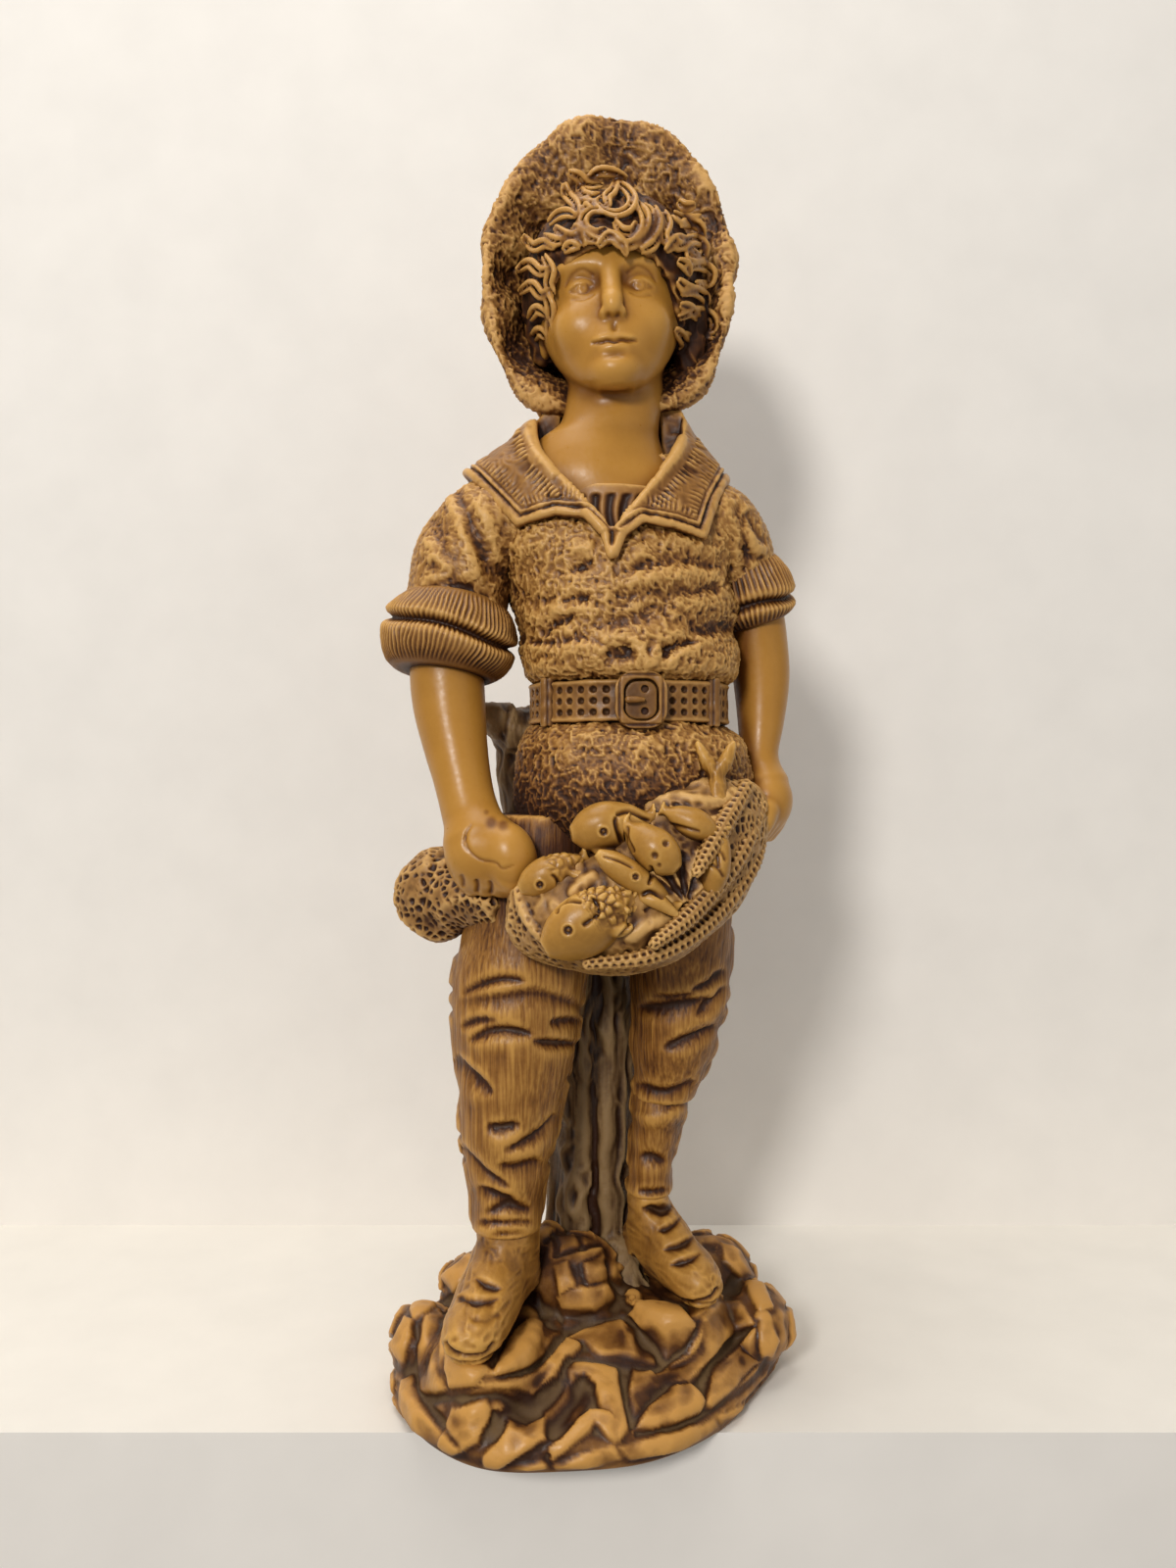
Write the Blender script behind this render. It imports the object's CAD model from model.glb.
"""Looks of the boy figurine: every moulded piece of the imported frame, modelled in full detail."""
import logging
import math
from collections.abc import Callable, Iterable, Sequence
from dataclasses import dataclass, field
from enum import Enum

import bpy
import numpy as np
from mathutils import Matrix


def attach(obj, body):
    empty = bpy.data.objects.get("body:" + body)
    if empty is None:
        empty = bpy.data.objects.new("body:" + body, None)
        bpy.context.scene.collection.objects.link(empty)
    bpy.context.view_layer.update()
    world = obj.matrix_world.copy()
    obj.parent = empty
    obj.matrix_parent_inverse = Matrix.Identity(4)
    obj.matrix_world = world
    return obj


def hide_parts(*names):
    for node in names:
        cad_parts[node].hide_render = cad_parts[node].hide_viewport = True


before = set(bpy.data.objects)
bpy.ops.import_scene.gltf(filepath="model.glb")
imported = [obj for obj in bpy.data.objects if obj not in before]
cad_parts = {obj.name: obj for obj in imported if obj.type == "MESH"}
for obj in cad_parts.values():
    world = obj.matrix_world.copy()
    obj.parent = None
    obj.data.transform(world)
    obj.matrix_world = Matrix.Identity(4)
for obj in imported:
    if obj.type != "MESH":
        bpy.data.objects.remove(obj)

import openvdb as vdb
from mathutils import Vector

LOG = logging.getLogger("figurine")
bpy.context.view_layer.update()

Array = np.ndarray
MM = 0.001

# Levels and middle lines of the figure, in mm, as in the part's source.
ROCK = 21.0
ROCK_HALF_WIDTH = 49.0
ROCK_HALF_DEPTH = 40.0
LEFT_STEP = 3.0
ANKLE = 41.0
KNEE = 91.0
HIP = 143.0
WAIST = 174.0
SHOULDER = 227.0
CHIN = 250.0
HEAD_HEIGHT = 51.0
EYES = CHIN + 0.47 * HEAD_HEIGHT
GRASP = 143.0
BODY_X = 10.5
HEAD_X = 6.5
RIGHT_LEG_X = -20.0
LEFT_LEG_X = 17.0
BELT_WIDTH = 10.0
BELT_THICKNESS = 3.2
WAIST_HALF_WIDTH = 22.4
WAIST_HALF_DEPTH = 16.0
COLLAR_THICKNESS = 2.6
BUCKLE = (12.8, WAIST)
MOUND = (-4, 3, ROCK + 3)
MOUND_RADII = (13, 12, 12)
NET_FRONT = -37.0
HAT_MIDDLE = (5.3, 4.5, 289.5)

# The front view: a level eye in front of the figure, with the view's ruler in 1200 by 1600 units.
EYE = np.array([0.0, -303.7, 153.7])
FOCAL = 1200.0
FRONT_MIDDLE = (600.0, 800.0)


def in_front(points: Array) -> tuple[Array, Array, Array]:
    """Finds where points fall in the front view.

    Args:
        points: Points in mm, one a row.

    Returns:
        The places across and down in the view's units, and the mm that one unit spans there.
    """
    span = (points[:, 1] - EYE[1]) / FOCAL
    return FRONT_MIDDLE[0] + points[:, 0] / span, FRONT_MIDDLE[1] - (points[:, 2] - EYE[2]) / span, span


def behind_front(across: float, down: float, depth: float) -> tuple[float, float, float]:
    """Finds the point that a place of the front view shows at a depth.

    Args:
        across: Place across the view.
        down: Place down the view.
        depth: The point's y in mm.

    Returns:
        The point in mm.
    """
    span = (depth - EYE[1]) / FOCAL
    return (across - FRONT_MIDDLE[0]) * span, depth, EYE[2] - (down - FRONT_MIDDLE[1]) * span


@dataclass(frozen=True)
class Patch:
    """A patch of the front view with a finer ruler of its own.

    Attributes:
        left: Where the patch starts across the view.
        top: Where it starts down the view.
        fineness: How many of its own units make one of the view's.
    """

    left: float
    top: float
    fineness: float

    def run(self, *numbers: float) -> tuple[tuple[float, float], ...]:
        """Turns a run of own units, across then down, into places of the front view.

        Args:
            numbers: Across and down by turns.

        Returns:
            The places in the front view.
        """
        pairs = zip(numbers[::2], numbers[1::2])
        return tuple((self.left + a / self.fineness, self.top + d / self.fineness) for a, d in pairs)


HEAD_PATCH = Patch(480, 100, 4)
CHEST_PATCH = Patch(440, 410, 3.4)
NET_PATCH = Patch(440, 730, 3.2)
LEG_PATCH = Patch(470, 970, 3.6)
BASE_PATCH = Patch(390, 1180, 3.4)


# Noise, the same in every run.


def lattice(cells: Array, seed: int) -> Array:
    """Gives each whole-numbered cell a steady value.

    Args:
        cells: Whole numbers, one cell a row.
        seed: Which set of values.

    Returns:
        Values from 0 to 1.
    """
    c = cells.astype(np.int64)
    mixed = (c[:, 0] * 73856093) ^ (c[:, 1] * 19349663) ^ (c[:, 2] * 83492791) ^ (seed * 2654435761)
    mixed = (mixed ^ (mixed >> 13)) & 0xFFFFFFFF
    mixed = (mixed * 1274126177) & 0xFFFFFFFF
    mixed = mixed ^ (mixed >> 16)
    return (mixed & 0xFFFFFF) / float(0xFFFFFF)


def cloud(points: Array, size: float, seed: int = 0) -> Array:
    """Soft lumps of noise.

    Args:
        points: Points in mm.
        size: The lumps' size in mm.
        seed: Which noise.

    Returns:
        Values from 0 to 1.
    """
    place = points / size
    base = np.floor(place)
    part = place - base
    part = part * part * (3 - 2 * part)
    total = np.zeros(len(points))
    for corner in range(8):
        step = np.array([corner & 1, (corner >> 1) & 1, (corner >> 2) & 1])
        share = np.prod(np.where(step, part, 1 - part), axis=1)
        total += share * lattice(base + step, seed)
    return total


def ridges(points: Array, size: float, seed: int = 0) -> Array:
    """Winding ridges, as of matted wool.

    Args:
        points: Points in mm.
        size: The ridges' spacing in mm.
        seed: Which noise.

    Returns:
        Values from 0 in the dips to 1 on the ridges.
    """
    bend = np.stack([cloud(points, 1.7 * size, seed + k) for k in (11, 12, 13)], axis=1)
    moved = points + (bend - 0.5) * 1.5 * size
    return 1 - np.abs(2 * cloud(moved, size, seed) - 1)


def cells(points: Array, size: float, seed: int = 0) -> tuple[Array, Array, Array]:
    """Splits space into odd-shaped cells.

    Args:
        points: Points in mm.
        size: The cells' size in mm.
        seed: Which split.

    Returns:
        The distances to the nearest and second nearest cell middle in mm, and a value for each cell.
    """
    place = points / size
    base = np.floor(place)
    first = np.full(len(points), 9.0)
    second = np.full(len(points), 9.0)
    name = np.zeros(len(points))
    for n in range(27):
        step = base + np.array([n % 3 - 1, n // 3 % 3 - 1, n // 9 - 1])
        middle = step + np.stack([lattice(step, seed + k) for k in (1, 2, 3)], axis=1)
        far = np.linalg.norm(place - middle, axis=1)
        nearer = far < first
        second = np.where(nearer, first, np.minimum(second, far))
        name = np.where(nearer, lattice(step, seed + 4), name)
        first = np.where(nearer, far, first)
    return first * size, second * size, name


def ease(value: Array, low: float, high: float) -> Array:
    """A soft step from 0 at low to 1 at high.

    Args:
        value: Any values.
        low: Where the step starts.
        high: Where it ends.

    Returns:
        Values from 0 to 1.
    """
    t = np.clip((value - low) / (high - low), 0, 1)
    return t * t * (3 - 2 * t)


# Curves and limbs, as in the part's source but with many more faces.


def curve(rows: Sequence[Sequence[float]], shares: Array, measure: int = 3) -> Array:
    """Runs a smooth curve through rows of numbers.

    Args:
        rows: The rows that the curve passes, each a point with any more numbers after it.
        shares: Where along the curve, from 0 to 1, rows being evenly spaced.
        measure: How many of the numbers in a row are its place.

    Returns:
        A row of numbers for each share.
    """
    given = np.asarray(rows, float)
    last = len(given) - 1
    ends = np.vstack([2 * given[0] - given[1], given, 2 * given[-1] - given[-2]])
    at = np.clip(shares, 0, 1) * last
    i = np.minimum(at.astype(int), last - 1)
    w = (at - i)[:, None]
    p0, p1, p2, p3 = ends[i], ends[i + 1], ends[i + 2], ends[i + 3]

    def gap(a: Array, b: Array) -> Array:
        """The share of the curve's pace between two rows.

        Args:
            a: One row of numbers for each share.
            b: The next ones.

        Returns:
            The paces in one column.
        """
        far = np.linalg.norm(a[:, :measure] - b[:, :measure], axis=1)
        return np.maximum(np.sqrt(far), 1e-3)[:, None]

    d0, d1, d2 = gap(p0, p1), gap(p1, p2), gap(p2, p3)
    t1 = ((p1 - p0) / d0 - (p2 - p0) / (d0 + d1) + (p2 - p1) / d1) * d1
    t2 = ((p2 - p1) / d1 - (p3 - p1) / (d1 + d2) + (p3 - p2) / d2) * d1
    w2, w3 = w * w, w * w * w
    return (2 * w3 - 3 * w2 + 1) * p1 + (w3 - 2 * w2 + w) * t1 + (3 * w2 - 2 * w3) * p2 + (w3 - w2) * t2


def turning(degrees: float, axis: str) -> Array:
    """A turn about an axis as a 3 by 3 table.

    Args:
        degrees: How far.
        axis: Which axis, x, y or z.

    Returns:
        The table.
    """
    c, s = math.cos(math.radians(degrees)), math.sin(math.radians(degrees))
    tables = {
        "x": [[1, 0, 0], [0, c, -s], [0, s, c]],
        "y": [[c, 0, s], [0, 1, 0], [-s, 0, c]],
        "z": [[c, -s, 0], [s, c, 0], [0, 0, 1]],
    }
    return np.array(tables[axis])


HEAD_PIVOT = np.array([HEAD_X, 4.0, CHIN + 10])
HEAD_TURN = turning(-3, "y") @ turning(-7, "x")


def head_pose(points: Array) -> Array:
    """Tilts points of the upright head as the figurine's head is tilted.

    Args:
        points: Points in mm.

    Returns:
        The tilted points.
    """
    return (points - HEAD_PIVOT) @ HEAD_TURN.T + HEAD_PIVOT


def head_upright(points: Array) -> Array:
    """Takes points of the tilted head back to the upright one.

    Args:
        points: Points in mm.

    Returns:
        The upright points.
    """
    return (points - HEAD_PIVOT) @ HEAD_TURN + HEAD_PIVOT


Shape = tuple[Array, Array, Array]
Swell = Callable[[Array, Array], Array]


def ring_faces(count: int, sides: int) -> tuple[Array, Array]:
    """Joins rings of points, which two end points after them close.

    Args:
        count: Spaces between rings.
        sides: Points round each ring.

    Returns:
        Four-sided faces between the rings and three-sided faces over both ends.
    """
    ring, side = (g.ravel() for g in np.meshgrid(np.arange(count), np.arange(sides), indexing="ij"))
    after = (side + 1) % sides
    low, high = ring * sides, (ring + 1) * sides
    quads = np.stack([low + side, low + after, high + after, high + side], axis=1)
    turn, top = np.arange(sides), count * sides
    first = top + sides
    start = np.stack([np.full(sides, first), (turn + 1) % sides, turn], axis=1)
    end = np.stack([np.full(sides, first + 1), top + turn, top + (turn + 1) % sides], axis=1)
    return quads, np.vstack([start, end])


def limb(
    stations: Sequence[Sequence[float]],
    sides: int = 48,
    rings: int = 0,
    facing: Sequence[float] = (0, 1, 0),
    level: bool = False,
    swell: Swell | None = None,
    pose: Callable[[Array], Array] | None = None,
) -> Shape:
    """Makes a closed limb through stations of x, y, z, half width and half depth.

    Args:
        stations: The stations.
        sides: Points round each ring.
        rings: Rings along the limb, or 0 for eight a station.
        facing: The way that the half depth lies.
        level: Whether the rings lie flat.
        swell: Scales a ring's points by share along and angle.
        pose: Moves the finished shape.

    Returns:
        Points, four-sided faces and three-sided faces.
    """
    count = rings or 8 * (len(stations) - 1)
    share = np.linspace(0, 1, count + 1)
    made = curve(stations, share)
    line = made[:, :3]
    tangent = np.gradient(line, axis=0)
    tangent /= np.linalg.norm(tangent, axis=1)[:, None]
    if level:
        tangent = np.tile([0.0, 0.0, 1.0], (count + 1, 1))
    across = np.cross(tangent, np.asarray(facing, float))
    across /= np.linalg.norm(across, axis=1)[:, None]
    through = np.cross(across, tangent)
    angle = np.arange(sides) * 2 * math.pi / sides
    half = np.maximum(made[:, 3], 0.4)[:, None]
    deep = np.maximum(made[:, 4], 0.4)[:, None]
    if swell is not None:
        scale = swell(share[:, None] + 0 * angle[None, :], angle[None, :] + 0 * share[:, None])
        half, deep = half * scale, deep * scale
    wide = (np.cos(angle)[None, :] * half)[..., None] * across[:, None, :]
    thick = (np.sin(angle)[None, :] * deep)[..., None] * through[:, None, :]
    points = (line[:, None, :] + wide + thick).reshape(-1, 3)
    points = np.vstack([points, line[0], line[-1]])
    if pose is not None:
        points = pose(points)
    return points, *ring_faces(count, sides)


def folds(count: float, depth: float) -> Swell:
    """Rings of folds round a limb.

    Args:
        count: How many.
        depth: Their depth as a share of the limb.

    Returns:
        A swell for a limb.
    """
    return lambda share, angle: 1 + depth * np.sin(2 * math.pi * count * share)


def blend_min(a: Array, b: Array, blend: float) -> Array:
    """The nearer of two forms, with a soft joint.

    Args:
        a: Distances to one form.
        b: Distances to the other.
        blend: How wide the joint's fillet is in mm.

    Returns:
        Distances to both together.
    """
    if blend <= 0:
        return np.minimum(a, b)
    near = np.maximum(blend - np.abs(a - b), 0) / blend
    return np.minimum(a, b) - near * near * blend * 0.25


class Clay:
    """A block that forms are added to and cut from, kept as distances on an even grid."""

    def __init__(self, low: Sequence[float], high: Sequence[float], grain: float, reach: float = 3.0) -> None:
        """Sets up an empty block.

        Args:
            low: Lowest corner in mm.
            high: Highest corner in mm.
            grain: The grid's pitch in mm.
            reach: How far from a surface distances are kept, in mm.
        """
        self.grain = grain
        self.reach = reach
        self.corner = tuple(int(math.floor(v / grain)) - 3 for v in low)
        top = [int(math.ceil(v / grain)) + 3 for v in high]
        self.shape = tuple(t - c for t, c in zip(top, self.corner))
        self.space = vdb.createLinearTransform(voxelSize=grain)
        self.field = np.full(self.shape, reach, np.float32)
        axes = [(np.arange(n) + c) * grain for n, c in zip(self.shape, self.corner)]
        self.x = axes[0][:, None, None].astype(np.float32)
        self.y = axes[1][None, :, None].astype(np.float32)
        self.z = axes[2][None, None, :].astype(np.float32)

    def of(self, shape: Shape) -> Array:
        """Distances to a closed shape.

        Args:
            shape: Points, four-sided faces and three-sided faces.

        Returns:
            The distances over the block.
        """
        points, quads, triangles = shape
        grid = vdb.FloatGrid.createLevelSetFromPolygons(
            np.ascontiguousarray(points, np.float32),
            triangles=np.ascontiguousarray(triangles, np.uint32),
            quads=np.ascontiguousarray(quads, np.uint32),
            transform=self.space,
            halfWidth=self.reach / self.grain,
        )
        out = np.full(self.shape, self.reach, np.float32)
        grid.copyToArray(out, ijk=self.corner)
        return out

    def ball(self, centre: Sequence[float], radii: Sequence[float], turn: Array | None = None) -> Array:
        """Distances to a squeezed ball.

        Args:
            centre: Its middle in mm.
            radii: Its three radii in mm.
            turn: A table that turns it.

        Returns:
            The distances over the block.
        """
        dx, dy, dz = self.x - centre[0], self.y - centre[1], self.z - centre[2]
        if turn is not None:
            dx, dy, dz = (turn[0, k] * dx + turn[1, k] * dy + turn[2, k] * dz for k in range(3))
        rx, ry, rz = radii
        outer = np.sqrt((dx / rx) ** 2 + (dy / ry) ** 2 + (dz / rz) ** 2)
        inner = np.sqrt((dx / rx**2) ** 2 + (dy / ry**2) ** 2 + (dz / rz**2) ** 2)
        return (outer * (outer - 1) / np.maximum(inner, 1e-6)).astype(np.float32)

    def add(self, form: Array, blend: float = 0.0) -> None:
        """Adds a form.

        Args:
            form: Its distances.
            blend: Fillet of the joint in mm.
        """
        self.field = blend_min(self.field, form, blend)

    def cut(self, form: Array, blend: float = 0.0) -> None:
        """Cuts a form away.

        Args:
            form: Its distances.
            blend: Rounding of the cut's edge in mm.
        """
        self.field = -blend_min(-self.field, form, blend)

    def keep(self, form: Array) -> None:
        """Keeps only what lies inside a form.

        Args:
            form: Its distances.
        """
        self.field = np.maximum(self.field, form)

    def rod(self, rows: Sequence[Sequence[float]], blend: float = 0.0, smooth: int = 4) -> None:
        """Adds a round rod through rows of x, y, z and radius.

        Args:
            rows: The rod's points and radii in mm.
            blend: Fillet of the joint in mm.
            smooth: Short pieces between two rows.
        """
        if smooth > 1 and len(rows) > 2:
            line = curve(rows, np.linspace(0, 1, smooth * (len(rows) - 1) + 1))
        else:
            line = np.asarray(rows, float)
        spare = self.reach if blend > 0 else 2 * self.grain
        for a, b in zip(line[:-1], line[1:]):
            wide = max(a[3], b[3]) + spare
            low = np.minimum(a[:3], b[:3]) - wide
            high = np.maximum(a[:3], b[:3]) + wide
            start = [max(0, int(math.floor(v / self.grain)) - c) for v, c in zip(low, self.corner)]
            limits = zip(high, self.corner, self.shape)
            stop = [min(n, int(math.ceil(v / self.grain)) - c + 1) for v, c, n in limits]
            if any(s >= e for s, e in zip(start, stop)):
                continue
            part = tuple(slice(s, e) for s, e in zip(start, stop))
            dx = self.x[part[0]] - a[0]
            dy = self.y[:, part[1]] - a[1]
            dz = self.z[:, :, part[2]] - a[2]
            run = b[:3] - a[:3]
            length = max(float(run @ run), 1e-9)
            along = np.clip((dx * run[0] + dy * run[1] + dz * run[2]) / length, 0, 1)
            dx, dy, dz = dx - along * run[0], dy - along * run[1], dz - along * run[2]
            far = np.sqrt(dx**2 + dy**2 + dz**2)
            form = far - (a[3] + along * (b[3] - a[3]))
            self.field[part] = blend_min(self.field[part], form, blend)

    def outline(self, points: Sequence[Sequence[float]]) -> Array:
        """Distances to an outline in the x-z plane, the same at every y.

        Args:
            points: The outline's x and z in mm, in order.

        Returns:
            The distances over the block.
        """
        px, pz = self.x[:, 0, :], self.z[0, :, :]
        far = np.full((self.shape[0], self.shape[2]), 1e9)
        inside = np.zeros(far.shape, bool)
        for (ax, az), (bx, bz) in zip(points, list(points[1:]) + [points[0]]):
            ex, ez = bx - ax, bz - az
            t = np.clip(((px - ax) * ex + (pz - az) * ez) / (ex * ex + ez * ez), 0, 1)
            far = np.minimum(far, (px - ax - t * ex) ** 2 + (pz - az - t * ez) ** 2)
            crosses = (az > pz) != (bz > pz)
            with np.errstate(divide="ignore", invalid="ignore"):
                inside ^= crosses & (px < ex * (pz - az) / ez + ax)
        signed = np.sqrt(far) * np.where(inside, -1, 1)
        return signed[:, None, :].astype(np.float32)

    def near(self, field: Array, points: Array) -> Array:
        """Reads distances over the block at points.

        Args:
            field: The distances.
            points: One point a row, in mm.

        Returns:
            The distance at the grid's nearest place to each point.
        """
        place = np.rint(points / self.grain).astype(int) - np.array(self.corner)
        place = np.clip(place, 0, np.array(self.shape) - 1)
        return field[place[:, 0], place[:, 1], place[:, 2]]

    def soften(self, rounds: int = 1) -> None:
        """Rounds edges off a little.

        Args:
            rounds: How often.
        """
        f = self.field
        for _ in range(rounds):
            for axis in range(3):
                f = np.swapaxes(f, 0, axis)
                g = f.copy()
                g[1:-1] = 0.25 * f[:-2] + 0.5 * f[1:-1] + 0.25 * f[2:]
                f = np.swapaxes(g, 0, axis)
        self.field = np.ascontiguousarray(f)

    def skin(self) -> "Surface":
        """Takes the surface off the block.

        Returns:
            The surface.
        """
        grid = vdb.FloatGrid(self.reach)
        grid.transform = self.space
        block = np.minimum(self.field, self.reach)
        block[[0, -1]] = self.reach
        block[:, [0, -1]] = self.reach
        block[:, :, [0, -1]] = self.reach
        grid.copyFromArray(np.ascontiguousarray(block, np.float32), ijk=self.corner)
        points, quads = grid.convertToQuads(0.0)
        surface = Surface(points.astype(float), quads.astype(np.int64))
        surface.keep_main_body()
        return surface


@dataclass(frozen=True)
class Stroke:
    """One carved line, in places of the front view.

    Attributes:
        line: The places that it passes.
        half_width: Its half width in mm.
        height: How far it stands up in mm, less than 0 for a groove.
        lean: How much its lower or right-hand side stands up against the other, in mm.
        bluntness: 1 tapers it from its middle to its ends, a larger number keeps it even.
        upper: Share of the half width that its upper or left-hand side takes.
    """

    line: tuple[tuple[float, float], ...]
    half_width: float
    height: float
    lean: float = 0.0
    bluntness: float = 3.0
    upper: float = 1.0


Run = Callable[..., tuple[tuple[float, float], ...]]


def strokes(run: Run, *rows: Sequence, ends: tuple[float, ...] = ()) -> tuple[Stroke, ...]:
    """Makes strokes from rows of numbers.

    Args:
        run: Turns a run of numbers into places of the front view.
        rows: For each stroke its half width, height and any further values together, then its line's run.
        ends: Further values that every stroke has.

    Returns:
        The strokes.
    """
    return tuple(Stroke(run(*line), *values, *ends) for values, *line in rows)


def drawn(across: Array, down: Array, span: Array, lines: Iterable[Stroke], shown: Array) -> Array:
    """Finds how high places stand by strokes drawn over them.

    Args:
        across: Places across in the strokes' units.
        down: Places down in the strokes' units.
        span: The mm that one unit spans at each place.
        lines: The strokes.
        shown: Which places the strokes reach.

    Returns:
        The height of each place in mm.
    """
    total = np.zeros(len(across))
    for stroke in lines:
        line = np.asarray(stroke.line, float)
        if len(line) > 2:
            line = curve(line, np.linspace(0, 1, 4 * (len(line) - 1) + 1), measure=2)
        spare = 3.2 * stroke.half_width / span.min()
        near = (across > line[:, 0].min() - spare) & (across < line[:, 0].max() + spare)
        near &= (down > line[:, 1].min() - spare) & (down < line[:, 1].max() + spare) & shown
        index = np.nonzero(near)[0]
        if not len(index):
            continue
        x, y, mm = across[index], down[index], span[index]
        best = np.full(len(index), 1e9)
        side = np.zeros(len(index))
        share = np.zeros(len(index))
        steps = np.linalg.norm(np.diff(line, axis=0), axis=1)
        reached = np.concatenate([[0], np.cumsum(steps)])
        for k in range(len(line) - 1):
            ex, ey = line[k + 1] - line[k]
            length = max(ex * ex + ey * ey, 1e-9)
            t = np.clip(((x - line[k, 0]) * ex + (y - line[k, 1]) * ey) / length, 0, 1)
            ox, oy = x - line[k, 0] - t * ex, y - line[k, 1] - t * ey
            far = ox * ox + oy * oy
            nearer = far < best
            best = np.where(nearer, far, best)
            side = np.where(nearer, np.sign(ex * oy - ey * ox), side)
            share = np.where(nearer, (reached[k] + t * steps[k]) / reached[-1], share)
        taper = (1 - np.abs(2 * share - 1) ** (2 * stroke.bluntness)) ** (1 / max(stroke.bluntness, 1.0))
        taper = np.maximum(taper, 0.0)
        wide = stroke.half_width * (0.35 + 0.65 * taper) * np.where(side < 0, stroke.upper, 1.0)
        off = np.sqrt(best) * mm / wide
        bell = np.exp(-off * off)
        total[index] += taper * bell * (stroke.height + 2.33 * stroke.lean * side * off)
    return total


class Surface:
    """A closed surface of four-sided faces, in mm, with stain levels for each point."""

    def __init__(self, points: Array, quads: Array) -> None:
        """Takes the points and faces.

        Args:
            points: One point a row.
            quads: Four point numbers a row.
        """
        self.points = points
        self.quads = quads
        self.film = np.zeros(len(points))
        self.stain = np.zeros(len(points))
        self._faces_changed()
        a, b, c, d = (points[quads[:, k]] for k in range(4))
        half, other = (np.einsum("ij,ij->i", a, np.cross(*pair)).sum() for pair in ((b, c), (c, d)))
        if half + other < 0:
            self.quads = quads[:, ::-1].copy()
            self._faces_changed()

    def _faces_changed(self) -> None:
        """Notes which points are neighbours after the faces have changed."""
        q = self.quads
        self.start = np.concatenate([q[:, 0], q[:, 1], q[:, 2], q[:, 3]])
        self.end = np.concatenate([q[:, 1], q[:, 2], q[:, 3], q[:, 0]])
        self.count = np.maximum(np.bincount(self.start, minlength=len(self.points)), 1)

    def keep_main_body(self) -> None:
        """Drops crumbs that hang beside the main body."""
        label = np.arange(len(self.points))
        while True:
            low = label.copy()
            np.minimum.at(low, self.start, label[self.end])
            np.minimum.at(low, self.end, label[self.start])
            low = low[low]
            if (low == label).all():
                break
            label = low
        names, sizes = np.unique(label, return_counts=True)
        if len(names) == 1:
            return
        keep = label == names[sizes.argmax()]
        number = np.cumsum(keep) - 1
        self.quads = number[self.quads[keep[self.quads[:, 0]]]]
        self.points = self.points[keep]
        self.film = self.film[keep]
        self.stain = self.stain[keep]
        self._faces_changed()

    def normals(self) -> Array:
        """Finds which way each point faces.

        Returns:
            A unit vector for each point.
        """
        p, q = self.points, self.quads
        cross = np.cross(p[q[:, 2]] - p[q[:, 0]], p[q[:, 3]] - p[q[:, 1]])
        total = np.zeros_like(p)
        for k in range(4):
            for axis in range(3):
                total[:, axis] += np.bincount(q[:, k], cross[:, axis], minlength=len(p))
        return total / np.maximum(np.linalg.norm(total, axis=1), 1e-12)[:, None]

    def average(self, values: Array, rounds: int) -> Array:
        """Spreads values over neighbouring points.

        Args:
            values: A number or a row for each point.
            rounds: How often.

        Returns:
            The smoothed values.
        """
        out = values.astype(float)
        columns = out[:, None] if out.ndim == 1 else out
        for _ in range(rounds):
            sums = [np.bincount(self.start, col[self.end], minlength=len(self.points)) for col in columns.T]
            columns = 0.5 * columns + 0.5 * np.stack(sums, axis=1) / self.count[:, None]
        return columns[:, 0] if out.ndim == 1 else columns

    def relax(self, rounds: int) -> None:
        """Smooths the surface.

        Args:
            rounds: How often.
        """
        self.points = self.average(self.points, rounds)

    def push(self, height: Array) -> None:
        """Moves each point out along the way it faces.

        Args:
            height: How far, in mm, for each point.
        """
        self.points = self.points + self.normals() * height[:, None]

    def facing(self) -> Array:
        """Finds how much each point faces the front view.

        Returns:
            Values from 0 to 1.
        """
        way = EYE - self.points
        way /= np.linalg.norm(way, axis=1)[:, None]
        return ease(np.einsum("ij,ij->i", self.normals(), way), 0.02, 0.3)

    def carve(self, lines: Iterable[Stroke], strength: float = 1.0) -> Array:
        """Finds how high each point stands by strokes in the front view.

        Args:
            lines: The strokes.
            strength: Scales them all.

        Returns:
            The height of each point in mm.
        """
        return drawn(*in_front(self.points), lines, self.facing() > 0) * strength

    def dots(self, places: Iterable[Sequence[float]], edge: float = 0.35) -> Array:
        """Finds round raised or sunk spots in the front view.

        Args:
            places: For each spot its place across and down, its radius and its height, both in mm.
            edge: Share of the radius that its soft edge takes.

        Returns:
            The height of each point in mm.
        """
        across, down, span = in_front(self.points)
        total = np.zeros(len(self.points))
        shown = self.facing() > 0
        for place_x, place_y, radius, height in places:
            far = np.hypot(across - place_x, down - place_y) * span
            index = np.nonzero((far < 1.5 * radius) & shown)[0]
            total[index] += height * (1 - ease(far[index], radius * (1 - edge), radius * (1 + edge)))
        return total

    def crest(self) -> Array:
        """Finds ridges and dips of every size.

        Returns:
            Values in mm, more than 0 on ridges and less than 0 in dips.
        """
        faces = self.normals()
        fine = self.average(self.points, 4)
        middle = self.average(fine, 16)
        broad = self.average(middle, 60)
        parts = [(self.points - fine, 1.6), (fine - middle, 1.3), (middle - broad, 0.5)]
        total = sum(weight * np.einsum("ij,ij->i", gap, faces) for gap, weight in parts)
        return total - np.median(total)


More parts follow.
